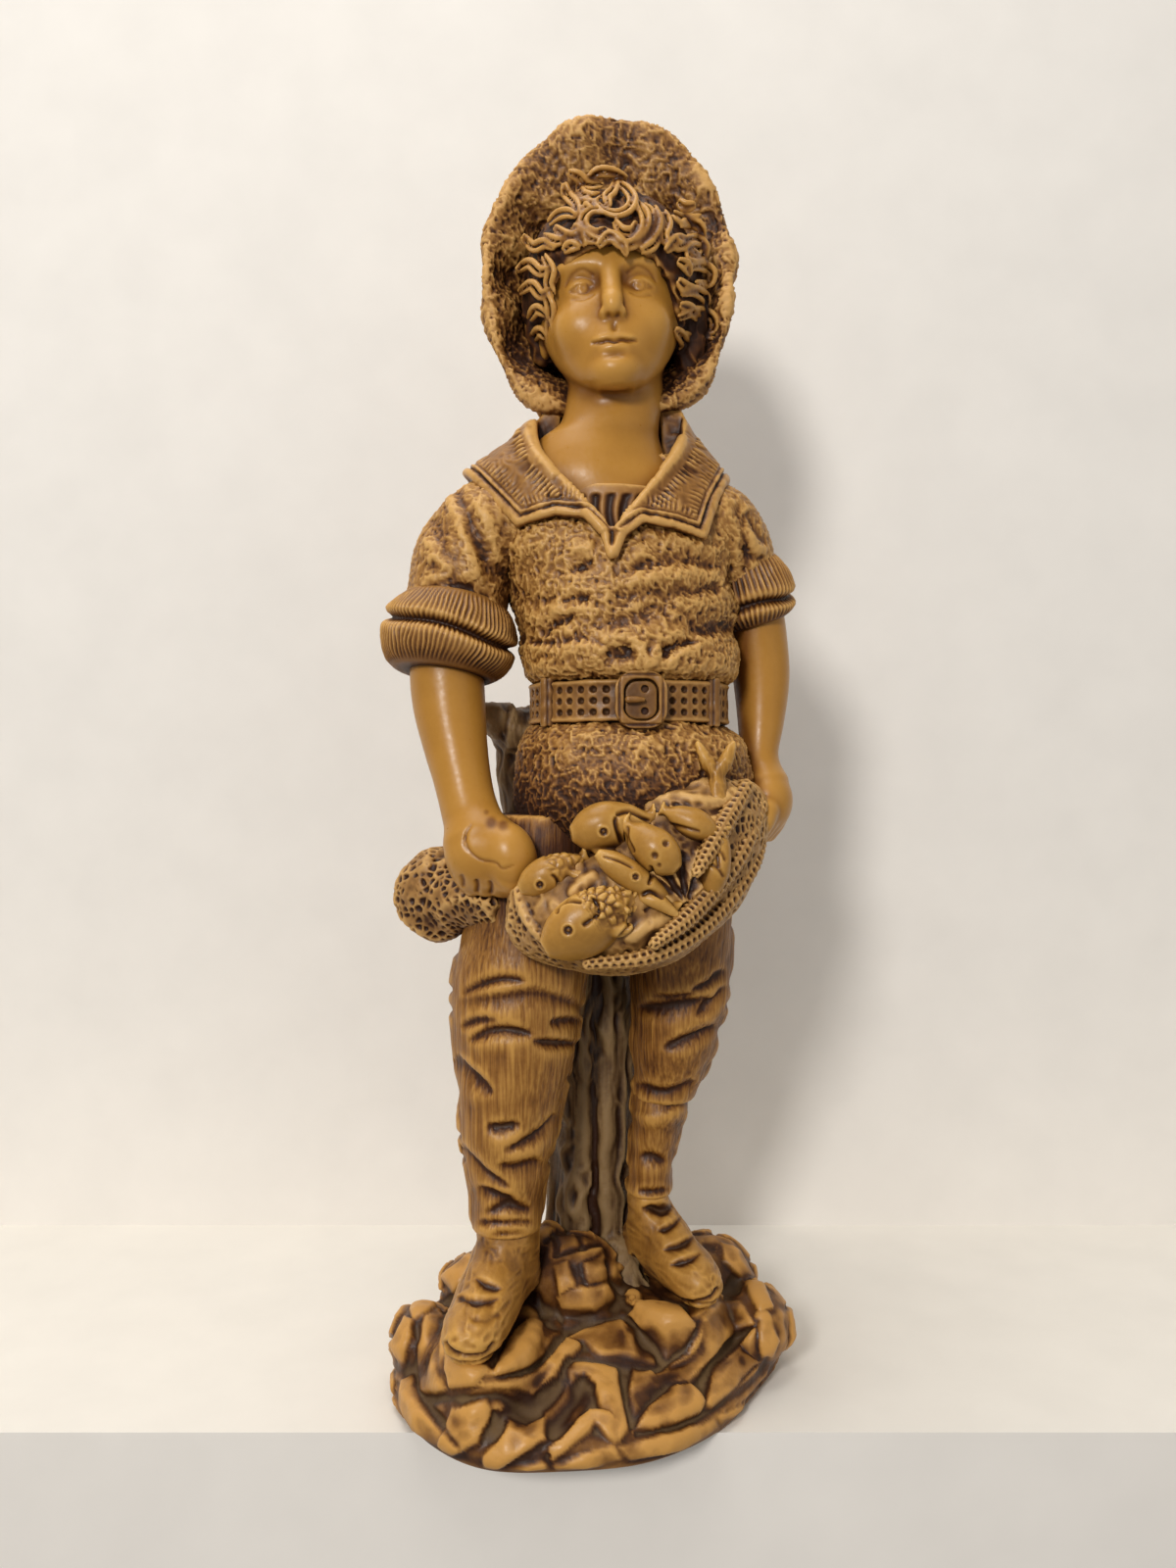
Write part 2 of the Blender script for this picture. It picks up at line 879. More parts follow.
class Gloom:
    """How closed in each place of the figure is, from the frame's own solids."""

    PITCH = 1.25
    SPREAD = 10

    def __init__(self) -> None:
        """Fills the solids into a coarse grid and spreads them."""
        points, triangles, count = [], [], 0
        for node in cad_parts.values():
            mesh = node.data
            mesh.calc_loop_triangles()
            own = np.empty(len(mesh.vertices) * 3, np.float32)
            mesh.vertices.foreach_get("co", own)
            faces = np.empty(len(mesh.loop_triangles) * 3, np.int32)
            mesh.loop_triangles.foreach_get("vertices", faces)
            points.append(own.reshape(-1, 3) / MM)
            triangles.append(faces.reshape(-1, 3) + count)
            count += len(mesh.vertices)
        every = np.vstack(points)
        low, high = every.min(0) - 14, every.max(0) + 14
        block = Clay(low, high, self.PITCH, 4.0)
        faces = np.vstack(triangles).astype(np.uint32)
        solid = block.of((every, np.zeros((0, 4), np.uint32), faces))
        full = Clay(low, high, self.PITCH, 4.0)
        full.field = np.clip(0.5 - solid / self.PITCH, 0, 1).astype(np.float32)
        full.soften(self.SPREAD)
        self.near = full.field.copy()
        full.soften(3 * self.SPREAD)
        self.far = full.field
        self.corner = np.array(full.corner)

    def _read(self, grid: Array, points: Array) -> Array:
        """Reads a grid between its places.

        Args:
            grid: The grid.
            points: Points in mm.

        Returns:
            The grid's value at each point.
        """
        place = points / self.PITCH - self.corner
        place = np.clip(place, 0, np.array(grid.shape) - 1.001)
        base = place.astype(int)
        part = place - base
        total = np.zeros(len(points))
        for corner in range(8):
            step = np.array([corner & 1, (corner >> 1) & 1, (corner >> 2) & 1])
            at = base + step
            total += np.prod(np.where(step, part, 1 - part), axis=1) * grid[at[:, 0], at[:, 1], at[:, 2]]
        return total

    def at(self, surface: Surface) -> Array:
        """Finds how closed in each point of a surface is.

        Args:
            surface: The surface.

        Returns:
            Values from about 0 in the open to 1 deep inside.
        """
        out = surface.normals()
        near = self._read(self.near, surface.points + 2.2 * out)
        far = self._read(self.far, surface.points + 4.5 * out)
        return np.clip(0.6 * ease(near, 0.16, 0.62) + 0.6 * ease(far, 0.2, 0.6), 0, 1)


class Slot(Enum):
    """The record's material slots."""

    SKIN = "skin"
    FISH = "fish"
    HAIR = "hair"
    HAT = "hat"
    BLOUSE = "blouse"
    COLLAR = "collar"
    BELT = "belt"
    TROUSERS = "trousers"
    BOOTS = "boots"
    NET = "net"
    STUMP = "stump"
    ROCK = "rock"


Colour = tuple[float, float, float]


def shade(red: int, green: int, blue: int) -> Colour:
    """Turns a colour as a screen shows it into one that a surface has.

    Args:
        red: 0 to 255.
        green: 0 to 255.
        blue: 0 to 255.

    Returns:
        The surface's colour.
    """
    shown = (red, green, blue)
    return tuple(((c / 255 + 0.055) / 1.055) ** 2.4 if c > 10 else c / 255 / 12.92 for c in shown)


@dataclass(frozen=True)
class Finish:
    """A stained resin finish.

    Attributes:
        name: What it's called.
        slot: The record's slot that it belongs to.
        light: Colour of the rubbed ridges.
        mid: Colour of plain surface.
        dark: Colour of the stain in dips.
        film: Colour of the dull film in the deepest carving.
        gain: How strongly ridges and dips show, per mm.
        bias: Where plain surface lies between dark and light, from 0 to 1.
        closed: How much darker closed-in places are.
        patches: How strongly broad patches vary the stain.
        speckle: How strongly fine specks vary it.
        streak: How strongly upright fine lines vary it.
        roughness: How dull the surface is.
        grain_depth: Depth of the finest grain in mm.
    """

    name: str
    slot: Slot
    light: Colour
    mid: Colour
    dark: Colour
    film: Colour = shade(112, 78, 42)
    gain: float = 1.0
    bias: float = 0.6
    closed: float = 0.38
    patches: float = 0.25
    speckle: float = 0.2
    streak: float = 0.0
    roughness: float = 0.42
    grain_depth: float = 0.05


DEEP = shade(48, 21, 3)
SKIN = Finish("skin", Slot.SKIN, shade(206, 154, 75), shade(176, 124, 49), shade(120, 73, 22),
              gain=0.6, bias=0.64, patches=0.2, speckle=0.05, roughness=0.34, grain_depth=0.012)
FISH = Finish("fish", Slot.FISH, shade(214, 167, 91), shade(172, 124, 53), shade(100, 61, 18),
              gain=0.8, bias=0.62, patches=0.22, speckle=0.12, roughness=0.34, grain_depth=0.02)
HAIR = Finish("hair", Slot.HAIR, shade(192, 142, 72), shade(136, 90, 36), shade(78, 41, 8),
              gain=0.9, bias=0.58, closed=0.3, patches=0.24, speckle=0.16, roughness=0.36, grain_depth=0.03)
HAT = Finish("hat", Slot.HAT, shade(204, 157, 91), shade(158, 111, 53), shade(92, 53, 17),
             gain=1.0, bias=0.56, closed=0.26, patches=0.3, speckle=0.3, roughness=0.46, grain_depth=0.08)
BLOUSE = Finish("blouse", Slot.BLOUSE, shade(204, 157, 89), shade(158, 111, 53), shade(102, 61, 22),
                gain=1.05, bias=0.66, closed=0.3, patches=0.3, speckle=0.28, roughness=0.44, grain_depth=0.07)
COLLAR = Finish("collar", Slot.COLLAR, shade(202, 154, 86), shade(150, 104, 49), shade(96, 57, 20),
                gain=1.0, bias=0.54, patches=0.24, speckle=0.14, roughness=0.4, grain_depth=0.03)
BELT = Finish("belt", Slot.BELT, shade(190, 143, 80), shade(136, 93, 43), shade(64, 31, 8),
              gain=0.9, bias=0.62, patches=0.26, speckle=0.16, roughness=0.38, grain_depth=0.03)
TROUSERS = Finish("trousers", Slot.TROUSERS, shade(192, 141, 68), shade(138, 91, 36), shade(74, 37, 8),
                  film=shade(100, 68, 34), closed=0.3, gain=0.9, bias=0.66, patches=0.4, speckle=0.16,
                  streak=0.9, roughness=0.42, grain_depth=0.03)
BOOTS = Finish("boots", Slot.BOOTS, shade(202, 151, 75), shade(162, 114, 49), shade(96, 57, 20),
               gain=1.0, bias=0.62, patches=0.24, speckle=0.12, streak=0.15, roughness=0.4, grain_depth=0.04)
NET = Finish("net", Slot.NET, shade(206, 161, 96), shade(156, 113, 60), shade(72, 39, 12),
             gain=1.0, bias=0.7, closed=0.3, patches=0.26, speckle=0.2, roughness=0.42, grain_depth=0.05)
STUMP = Finish("stump", Slot.STUMP, shade(150, 120, 79), shade(106, 78, 47), shade(50, 29, 13),
               film=shade(104, 82, 55), gain=0.85, bias=0.7, closed=0.04, patches=0.42, speckle=0.24,
               streak=0.3, roughness=0.44, grain_depth=0.06)
ROCKY = Finish("rock", Slot.ROCK, shade(198, 145, 73), shade(144, 98, 44), shade(88, 51, 17),
               film=shade(118, 92, 58), closed=0.28, gain=0.9, bias=0.47, patches=0.7, speckle=0.2,
               roughness=0.38, grain_depth=0.04)


class Paint:
    """Builds one finish as a node material."""

    PATCH_SCALE = 90
    SPECK_SCALE = 900
    STREAK_SCALE = 1500
    STREAK_LENGTH = 0.045
    DARK_AT = 0.28
    MID_AT = 0.62
    FILM_PATCHES = 1.6
    FILM_LEVEL = 0.8
    SHINE = 0.32

    def __init__(self, finish: Finish) -> None:
        """Builds the material.

        Args:
            finish: Its sizes and colours.
        """
        self.material = bpy.data.materials.new(finish.name + "_resin")
        self.material.use_nodes = True
        self.tree = self.material.node_tree
        self.tree.nodes.clear()
        self._build(finish)

    def _node(self, kind: str, **settings: object) -> bpy.types.Node:
        """Adds a node.

        Args:
            kind: Its kind.
            settings: Settings by name.

        Returns:
            The node.
        """
        node = self.tree.nodes.new(kind)
        for key, value in settings.items():
            setattr(node, key, value)
        return node

    def _link(self, source: bpy.types.NodeSocket, target: bpy.types.NodeSocket) -> None:
        """Links two sockets."""
        self.tree.links.new(source, target)

    def _sum(self, operation: str, a: object, b: object, clamp: bool = False) -> bpy.types.NodeSocket:
        """Adds a node that works out one number from two.

        Args:
            operation: What it works out.
            a: The first number or socket.
            b: The second number or socket.
            clamp: Whether the result stays from 0 to 1.

        Returns:
            The result's socket.
        """
        node = self._node("ShaderNodeMath", operation=operation, use_clamp=clamp)
        for socket, value in zip(node.inputs, (a, b)):
            if isinstance(value, bpy.types.NodeSocket):
                self._link(value, socket)
            else:
                socket.default_value = value
        return node.outputs[0]

    def _noise(self, place: bpy.types.NodeSocket, scale: float, detail: float = 3.0) -> bpy.types.NodeSocket:
        """Adds soft noise about 0.

        Args:
            place: Where the noise is read.
            scale: How fine it is, per metre.
            detail: How many finer layers it has.

        Returns:
            The noise's socket.
        """
        noise = self._node("ShaderNodeTexNoise")
        self._link(place, noise.inputs["Vector"])
        noise.inputs["Scale"].default_value = scale
        noise.inputs["Detail"].default_value = detail
        return self._sum("SUBTRACT", noise.outputs[0], 0.5)

    def _build(self, finish: Finish) -> None:
        """Builds the nodes: a stain ramp, a dull film and fine grain.

        Args:
            finish: The finish's values.
        """
        place = self._node("ShaderNodeTexCoord").outputs["Object"]
        crest = self._node("ShaderNodeAttribute", attribute_name="crest").outputs["Fac"]
        gloom = self._node("ShaderNodeAttribute", attribute_name="gloom").outputs["Fac"]
        film = self._node("ShaderNodeAttribute", attribute_name="film").outputs["Fac"]
        patches = self._noise(place, self.PATCH_SCALE, 4)
        specks = self._noise(place, self.SPECK_SCALE, 3)
        stretch = self._node("ShaderNodeMapping")
        stretch.inputs["Scale"].default_value = (1.0, 1.0, self.STREAK_LENGTH)
        self._link(place, stretch.inputs["Vector"])
        streaks = self._noise(stretch.outputs[0], self.STREAK_SCALE, 2)

        tone = self._sum("ADD", self._sum("MULTIPLY", crest, finish.gain), finish.bias)
        tone = self._sum("ADD", tone, self._sum("MULTIPLY", patches, finish.patches))
        tone = self._sum("ADD", tone, self._sum("MULTIPLY", specks, finish.speckle))
        tone = self._sum("ADD", tone, self._sum("MULTIPLY", streaks, finish.streak))
        tone = self._sum("SUBTRACT", tone, self._sum("MULTIPLY", gloom, finish.closed), clamp=True)

        ramp = self._node("ShaderNodeValToRGB")
        self._link(tone, ramp.inputs[0])
        stops = ramp.color_ramp.elements
        stops[0].position, stops[0].color = 0.0, (*DEEP, 1)
        stops[1].position, stops[1].color = 1.0, (*finish.light, 1)
        for position, colour in ((self.DARK_AT, finish.dark), (self.MID_AT, finish.mid)):
            stop = stops.new(position)
            stop.color = (*colour, 1)

        uneven = self._sum("ADD", self._sum("MULTIPLY", patches, self.FILM_PATCHES), self.FILM_LEVEL)
        filmed = self._sum("MULTIPLY", film, uneven, clamp=True)
        mix = self._node("ShaderNodeMix", data_type="RGBA")
        self._link(filmed, mix.inputs[0])
        self._link(ramp.outputs[0], mix.inputs[6])
        mix.inputs[7].default_value = (*finish.film, 1)

        shader = self._node("ShaderNodeBsdfPrincipled")
        self._link(mix.outputs[2], shader.inputs["Base Color"])
        dull = self._sum("ADD", self._sum("MULTIPLY", specks, 0.3), finish.roughness)
        dull = self._sum("ADD", dull, self._sum("MULTIPLY", filmed, 0.4))
        dull = self._sum("ADD", dull, self._sum("MULTIPLY", gloom, 0.15), clamp=True)
        self._link(dull, shader.inputs["Roughness"])
        shader.inputs["Specular IOR Level"].default_value = self.SHINE

        relief = self._sum("ADD", specks, self._sum("MULTIPLY", streaks, 3 * finish.streak))
        bump = self._node("ShaderNodeBump")
        bump.inputs["Strength"].default_value = 0.6
        bump.inputs["Distance"].default_value = finish.grain_depth * MM * 4
        self._link(relief, bump.inputs["Height"])
        self._link(bump.outputs[0], shader.inputs["Normal"])
        output = self._node("ShaderNodeOutputMaterial")
        self._link(shader.outputs[0], output.inputs["Surface"])


class Shop:
    """Turns finished surfaces into pieces that ride on the frame."""

    def __init__(self) -> None:
        """Prepares the finishes and the stain."""
        self.gloom = Gloom()
        self.paints: dict[str, bpy.types.Material] = {}

    def piece(self, name: str, surface: Surface, finish: Finish, *nodes: str) -> None:
        """Makes a piece.

        Args:
            name: The piece's name.
            surface: Its surface in mm.
            finish: Its finish.
            nodes: The frame's nodes that it stands for.
        """
        mesh = bpy.data.meshes.new(name)
        count, faces = len(surface.points), len(surface.quads)
        mesh.vertices.add(count)
        mesh.vertices.foreach_set("co", (surface.points * MM).astype(np.float32).ravel())
        mesh.loops.add(4 * faces)
        mesh.loops.foreach_set("vertex_index", surface.quads.astype(np.int32).ravel())
        mesh.polygons.add(faces)
        mesh.polygons.foreach_set("loop_start", (4 * np.arange(faces)).astype(np.int32))
        mesh.polygons.foreach_set("loop_total", np.full(faces, 4, np.int32))
        mesh.polygons.foreach_set("use_smooth", np.ones(faces, bool))
        mesh.update(calc_edges=True)
        mesh.validate()
        gloom = self.gloom.at(surface) + surface.stain
        for key, values in (("crest", surface.crest()), ("gloom", gloom), ("film", surface.film)):
            layer = mesh.attributes.new(key, "FLOAT", "POINT")
            layer.data.foreach_set("value", values.astype(np.float32))
        if finish.name not in self.paints:
            self.paints[finish.name] = Paint(finish).material
        mesh.materials.append(self.paints[finish.name])
        made = bpy.data.objects.new(name, mesh)
        bpy.context.scene.collection.objects.link(made)
        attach(made, "root")
        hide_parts(*nodes)
        LOG.info("%s: %d faces, finish %s", name, faces, finish.name)


# The pieces, from the ground up.


@dataclass(frozen=True)
class Plate:
    """One carved stone of the rock, in places of the front view.

    Attributes:
        outline: Its corners.
        height: How far it stands up in mm.
        peak: Its highest place, or none for its middle.
    """

    outline: tuple[tuple[float, float], ...]
    height: float = 1.9
    peak: tuple[float, float] | None = None


ROCK_EDGE = (
    (1.02, 0.15), (1, 0.6), (0.82, 0.85), (0.37, 0.95), (-0.24, 0.93), (-0.67, 0.8), (-0.92, 0.5), (-1, 0.08),
    (-0.98, -0.33), (-0.78, -0.78), (-0.49, -1.05), (-0.08, -1.07), (0.29, -0.98), (0.63, -0.68),
    (0.86, -0.25),
)
ROCK_LEVELS = (
    (0, 0.97), (0.2, 1), (0.44, 0.95), (0.56, 0.84), (0.66, 0.7), (0.86, 0.48), (0.94, 0.25), (0.97, 0.02),
)

on_base = BASE_PATCH.run
FRONT_STONES = tuple(
    Plate(on_base(*line), height, peak)
    for height, peak, *line in (
        (1.6, None, 610, 492, 640, 462, 780, 450, 836, 538, 818, 560, 640, 582),
        (1.3, None, 700, 372, 768, 342, 790, 418, 716, 446),
        (1.3, None, 598, 380, 642, 366, 664, 448, 618, 476),
        (1.0, None, 640, 352, 700, 330, 760, 318, 730, 352, 664, 372),
        (2.0, (985, 580), 862, 548, 900, 512, 1030, 520, 1084, 586, 1066, 630, 986, 704, 950, 660),
        (1.9, (830, 600), 640, 640, 700, 600, 820, 572, 880, 606, 948, 690, 940, 712, 830, 682, 760, 690,
         700, 640),
        (2.0, (520, 620), 400, 720, 470, 600, 520, 560, 600, 560, 620, 600, 560, 690, 500, 735, 400, 752),
        (1.5, None, 440, 560, 500, 470, 530, 480, 540, 560, 470, 610),
        (2.4, (600, 740), 320, 792, 480, 768, 560, 730, 640, 640, 684, 660, 640, 700, 600, 770, 520, 828,
         470, 800),
        (2.1, None, 130, 812, 130, 660, 150, 560, 200, 520, 214, 620, 210, 700, 216, 800, 180, 826),
        (1.8, (290, 740), 220, 690, 300, 690, 372, 672, 384, 700, 322, 790, 240, 800),
        (1.7, None, 100, 520, 120, 460, 180, 440, 206, 490, 160, 540, 110, 560),
        (1.6, None, 200, 420, 300, 340, 330, 360, 250, 470, 216, 486),
        (1.9, (925, 790), 870, 742, 930, 752, 974, 800, 920, 850, 866, 900, 852, 860),
        (2.3, (1130, 640), 900, 800, 980, 740, 1060, 690, 1120, 560, 1170, 510, 1240, 500, 1284, 580, 1180,
         640, 1110, 740, 1060, 790),
        (2.3, (1010, 850), 876, 950, 930, 870, 1000, 810, 1066, 800, 1112, 850, 1100, 890, 1000, 930),
        (2.1, (1230, 700), 1130, 850, 1150, 740, 1220, 670, 1290, 600, 1306, 700, 1230, 790, 1150, 870),
        (1.8, None, 1300, 540, 1330, 520, 1370, 640, 1330, 760, 1250, 850, 1190, 880, 1240, 800, 1310, 700),
        (1.6, None, 1180, 300, 1240, 330, 1290, 420, 1250, 430, 1190, 360),
        (1.6, None, 1250, 380, 1310, 430, 1350, 520, 1310, 530, 1260, 440),
        (2.4, (770, 830), 640, 740, 664, 716, 760, 730, 810, 740, 820, 800, 850, 940, 820, 985, 760, 890,
         740, 800, 700, 756, 660, 780),
        (2.2, (760, 905), 580, 1010, 640, 960, 720, 890, 780, 900, 850, 950, 810, 990, 740, 930, 660, 990,
         590, 1050),
        (2.1, (500, 985), 440, 910, 500, 935, 562, 900, 566, 980, 480, 1030, 400, 1080, 350, 1100, 360,
         1040, 430, 960),
        (2.0, (300, 940), 240, 880, 360, 850, 372, 900, 330, 990, 230, 1040, 200, 1000),
        (1.9, None, 60, 880, 70, 780, 110, 760, 130, 850, 240, 1010, 180, 1030, 100, 960),
        (1.7, None, 30, 760, 40, 640, 80, 560, 104, 570, 80, 680, 66, 780),
        (1.4, None, 600, 1080, 700, 1040, 800, 1010, 820, 1050, 720, 1080, 620, 1096),
        (1.7, None, 830, 1010, 960, 980, 1150, 920, 1170, 950, 1040, 1010, 860, 1050),
        (1.5, None, 1180, 905, 1260, 860, 1340, 770, 1330, 830, 1230, 920, 1180, 950),
        (1.2, None, 400, 1090, 560, 1070, 590, 1090, 480, 1106),
    )
)
ROCK_GROOVES = strokes(
    on_base,
    ((1.5, -2.2, 0, 4), 150, 838, 300, 846, 420, 840, 520, 876, 590, 830, 626, 780),
    ((0.9, -1.3), 560, 590, 640, 600, 700, 594, 790, 578, 850, 556),
    ((1.1, -1.5, 0, 4), 850, 556, 890, 620, 950, 680, 1000, 738, 1060, 706, 1104, 640, 1110, 570),
    ((1.0, -1.5, 0, 4), 640, 605, 600, 664, 540, 726, 440, 768, 350, 786),
    ((0.9, -1.5, 0, 4), 646, 712, 700, 706, 760, 724, 860, 744, 980, 738),
    ((1.0, -1.6), 826, 750, 836, 830, 858, 900, 872, 940),
    ((1.3, -2.0, 0, 4), 872, 956, 1000, 936, 1100, 900, 1190, 860, 1290, 770, 1340, 690),
    ((1.2, -1.9), 1096, 800, 1120, 750, 1190, 660, 1290, 588),
    ((1.0, -1.4), 1110, 780, 1120, 850),
    ((1.6, -1.6), 392, 880, 400, 930, 440, 900, 560, 880),
    ((2.0, -2.4), 690, 760, 668, 840, 610, 910, 590, 980),
    ((0.8, -1.3), 206, 560, 202, 680, 214, 810),
    ((1.0, -1.5), 120, 580, 130, 700, 126, 830, 180, 900, 280, 1020),
    ((1.3, -1.6), 190, 430, 220, 470, 236, 520),
    ((1.2, -1.5), 520, 470, 538, 540, 570, 560),
    ((1.4, -1.6), 780, 350, 800, 420, 850, 500, 856, 550),
    ((1.1, -1.4), 870, 350, 920, 430, 990, 490, 1060, 520),
    ((1.8, -1.3), 1196, 440, 1240, 456),
    ((1.4, -1.2), 1110, 300, 1160, 312),
    ((0.9, -1.2), 1304, 560, 1296, 640, 1310, 700),
    ((0.8, -1.2), 580, 1030, 570, 1060, 590, 1090),
    ((0.8, -1.6), 600, 340, 650, 320, 700, 306, 770, 300),
    ((0.9, -1.6), 560, 300, 600, 262, 660, 250),
    ((0.8, -1.4), 590, 250, 606, 300, 596, 350),
    ((0.8, -1.4), 668, 240, 690, 290, 700, 330),
    ((0.9, -1.4), 700, 250, 740, 262, 790, 300),
    ((1.1, -1.8), 784, 300, 800, 380, 820, 440, 860, 500),
)


@dataclass(frozen=True)
class Rock:
    """The rock that the boy stands on."""

    GRAIN: float = 0.62
    OVERHANG: float = 0.75

    def _mound(self) -> Shape:
        """Raises the rock's outline through its levels.

        Returns:
            The mound's shape.
        """
        sides, steps = 160, 10
        edge = [(x * ROCK_HALF_WIDTH, y * ROCK_HALF_DEPTH, 0.0) for x, y in ROCK_EDGE]
        wrapped = edge[-2:] + edge + edge[:3]
        share = (2 + np.arange(sides) / sides * len(edge)) / (len(wrapped) - 1)
        rim = curve(wrapped, share)[:, :2]
        levels = [(h * 40, f * 40, 0.0) for h, f in ROCK_LEVELS]
        heights = curve(levels, np.linspace(0, 1, steps * 7 + 1)) / 40
        rings = []
        for height, fill, _ in heights:
            fill = min(max(fill, 0.02), 1.0)
            lift = max(height, 0.0) * ROCK * (1 + 0.004 * rim[:, 1] * fill)
            rings.append(np.column_stack([rim * fill, lift]))
        points = np.vstack([*rings, [[0, 0, 0], rings[-1].mean(0)]])
        return points, *ring_faces(len(heights) - 1, sides)

    def _stones(self, surface: Surface) -> Array:
        """Finds how high the front's carved stones stand.

        Args:
            surface: The rock's surface.

        Returns:
            The height of each point in mm.
        """
        across, down, span = in_front(surface.points)
        shown = surface.facing()
        total = np.zeros(len(surface.points))
        for number, stone in enumerate(FRONT_STONES):
            corners = np.asarray(stone.outline)
            peak = np.asarray(on_base(*stone.peak)[0]) if stone.peak else corners.mean(0)
            box = (across > corners[:, 0].min() - 4) & (across < corners[:, 0].max() + 4)
            box &= (down > corners[:, 1].min() - 4) & (down < corners[:, 1].max() + 4) & (shown > 0)
            index = np.nonzero(box)[0]
            x, y = across[index], down[index]
            inside = np.zeros(len(index), bool)
            edge = np.full(len(index), 1e9)
            for (ax, ay), (bx, by) in zip(corners, np.roll(corners, -1, axis=0)):
                ex, ey = bx - ax, by - ay
                t = np.clip(((x - ax) * ex + (y - ay) * ey) / (ex * ex + ey * ey), 0, 1)
                edge = np.minimum(edge, np.hypot(x - ax - t * ex, y - ay - t * ey))
                with np.errstate(divide="ignore", invalid="ignore"):
                    inside ^= ((ay > y) != (by > y)) & (x < ex * (y - ay) / ey + ax)
            edge = edge * span[index]
            away = np.stack([x - peak[0], y - peak[1]], axis=1) * span[index][:, None]
            flats = np.full(len(index), 9.0)
            for k in range(4):
                turn = 2 * math.pi * (k + 0.37 * number) / 4 + 0.5 * math.sin(number + k)
                slope = 0.16 + 0.1 * math.sin(2.1 * number + 1.7 * k)
                run = away[:, 0] * math.cos(turn) + away[:, 1] * math.sin(turn)
                flats = np.minimum(flats, -slope * run)
            height = stone.height + np.maximum(flats, -0.75 * stone.height)
            rim = np.clip((np.where(inside, edge, -edge) + self.OVERHANG) / 0.9, 0, 1) ** 0.7
            total[index] = np.maximum(total[index], height * rim)
        return total * shown

    def make(self, shop: Shop) -> None:
        """Makes the rock.

        Args:
            shop: Where pieces are made.
        """
        clay = Clay((-54, -47, -1), (56, 44, 41), self.GRAIN, 3.6)
        clay.add(clay.of(self._mound()))
        for centre, radii, tilt in (
            ((32, 20, 18.5), (14, 12, 11), 20), ((15, 29, 18.5), (13, 9, 9), -30),
            ((-29, 21, 16.5), (12, 11, 8), 10), ((44, 4, 13), (9, 13, 9), 0), ((-42, -4, 13), (8, 12, 7), 10),
        ):
            clay.add(clay.ball(centre, radii, turning(tilt, "z")), 2.5)
        clay.add(clay.ball(MOUND, MOUND_RADII), 3)
        clay.add(clay.ball((-10.5, 5, 33), (5.5, 5, 5), turning(20, "y")), 1.5)
        pads = ((-24, -14, ROCK - 0.6, 11, 23), (21.5, 2, ROCK + LEFT_STEP - 0.6, 12, 18))
        for x, y, top, wide, deep in pads:
            middle = (x, y, 0.6 * top, wide + 4, deep + 2)
            rows = [(x, y, 4, wide + 5, deep + 3), middle, (x, y, top, wide, deep)]
            clay.add(clay.of(limb(rows, level=True)), 3.0)
        clay.soften(2)
        surface = clay.skin()
        faces = surface.normals()
        low = ease(surface.points[:, 2], 0.3, 2.4)
        shown = surface.facing()
        first, second, name = cells(surface.points * np.array([1, 1, 1.35]), 11.5, 5)
        gap = second - first
        named = np.floor(name * 9999)[:, None].repeat(3, 1)
        tilt = np.stack([lattice(named, k) - 0.5 for k in (1, 2, 3)], axis=1)
        _, _, chip_name = cells(surface.points, 5.5, 9)
        plates = 1.3 * ease(gap, 0.2, 2.2) - 0.6 + 0.8 * (name - 0.5) + 0.4 * (chip_name - 0.5)
        plates += 0.1 * np.einsum("ij,ij->i", tilt, surface.points % 11.5 - 5.7)
        carved = self._stones(surface) - 0.4 + surface.carve(ROCK_GROOVES, 0.5)
        height = (shown * carved + (1 - shown) * plates) * low * ease(-faces[:, 2], 0.8, 0.2)
        surface.push(height)
        worn = 0.4 * (cloud(surface.points, 2.6, 3) - 0.5) + 0.4 * (ridges(surface.points, 8, 31) - 0.6)
        surface.push(low * worn * ease(surface.normals()[:, 2], -0.6, 0.0))
        shell = on_base(868, 492)[0]
        surface.push(surface.dots([(*shell, 2.1, 0.9), (*shell, 1.2, -0.7), (*shell, 0.5, 0.6)]))
        surface.points[:, 2] = np.maximum(surface.points[:, 2], 0.0)
        dips = surface.average(np.maximum(-surface.crest(), 0), 2)
        surface.film = ease(dips, 0.28, 0.85) * (0.35 + 0.65 * cloud(surface.points, 13, 8))
        rubbed = cloud(surface.points, 5, 11)
        p = surface.points
        surface.stain = 0.9 * ease(rubbed, 0.42, 0.72) * ease(0.25 - np.abs(surface.crest()), 0, 0.2)
        on_pile = 1 - ease(np.hypot(p[:, 0] - MOUND[0], p[:, 1] - MOUND[1]), 10, 15)
        surface.stain += 1.1 * on_pile * ease(p[:, 2], ROCK + 6.5, ROCK + 9.5)
        surface.stain += 1.4 * (1 - ease(p[:, 2], 1.0, 6.0))
        shop.piece("carved_rock", surface, ROCKY, "rock_base")


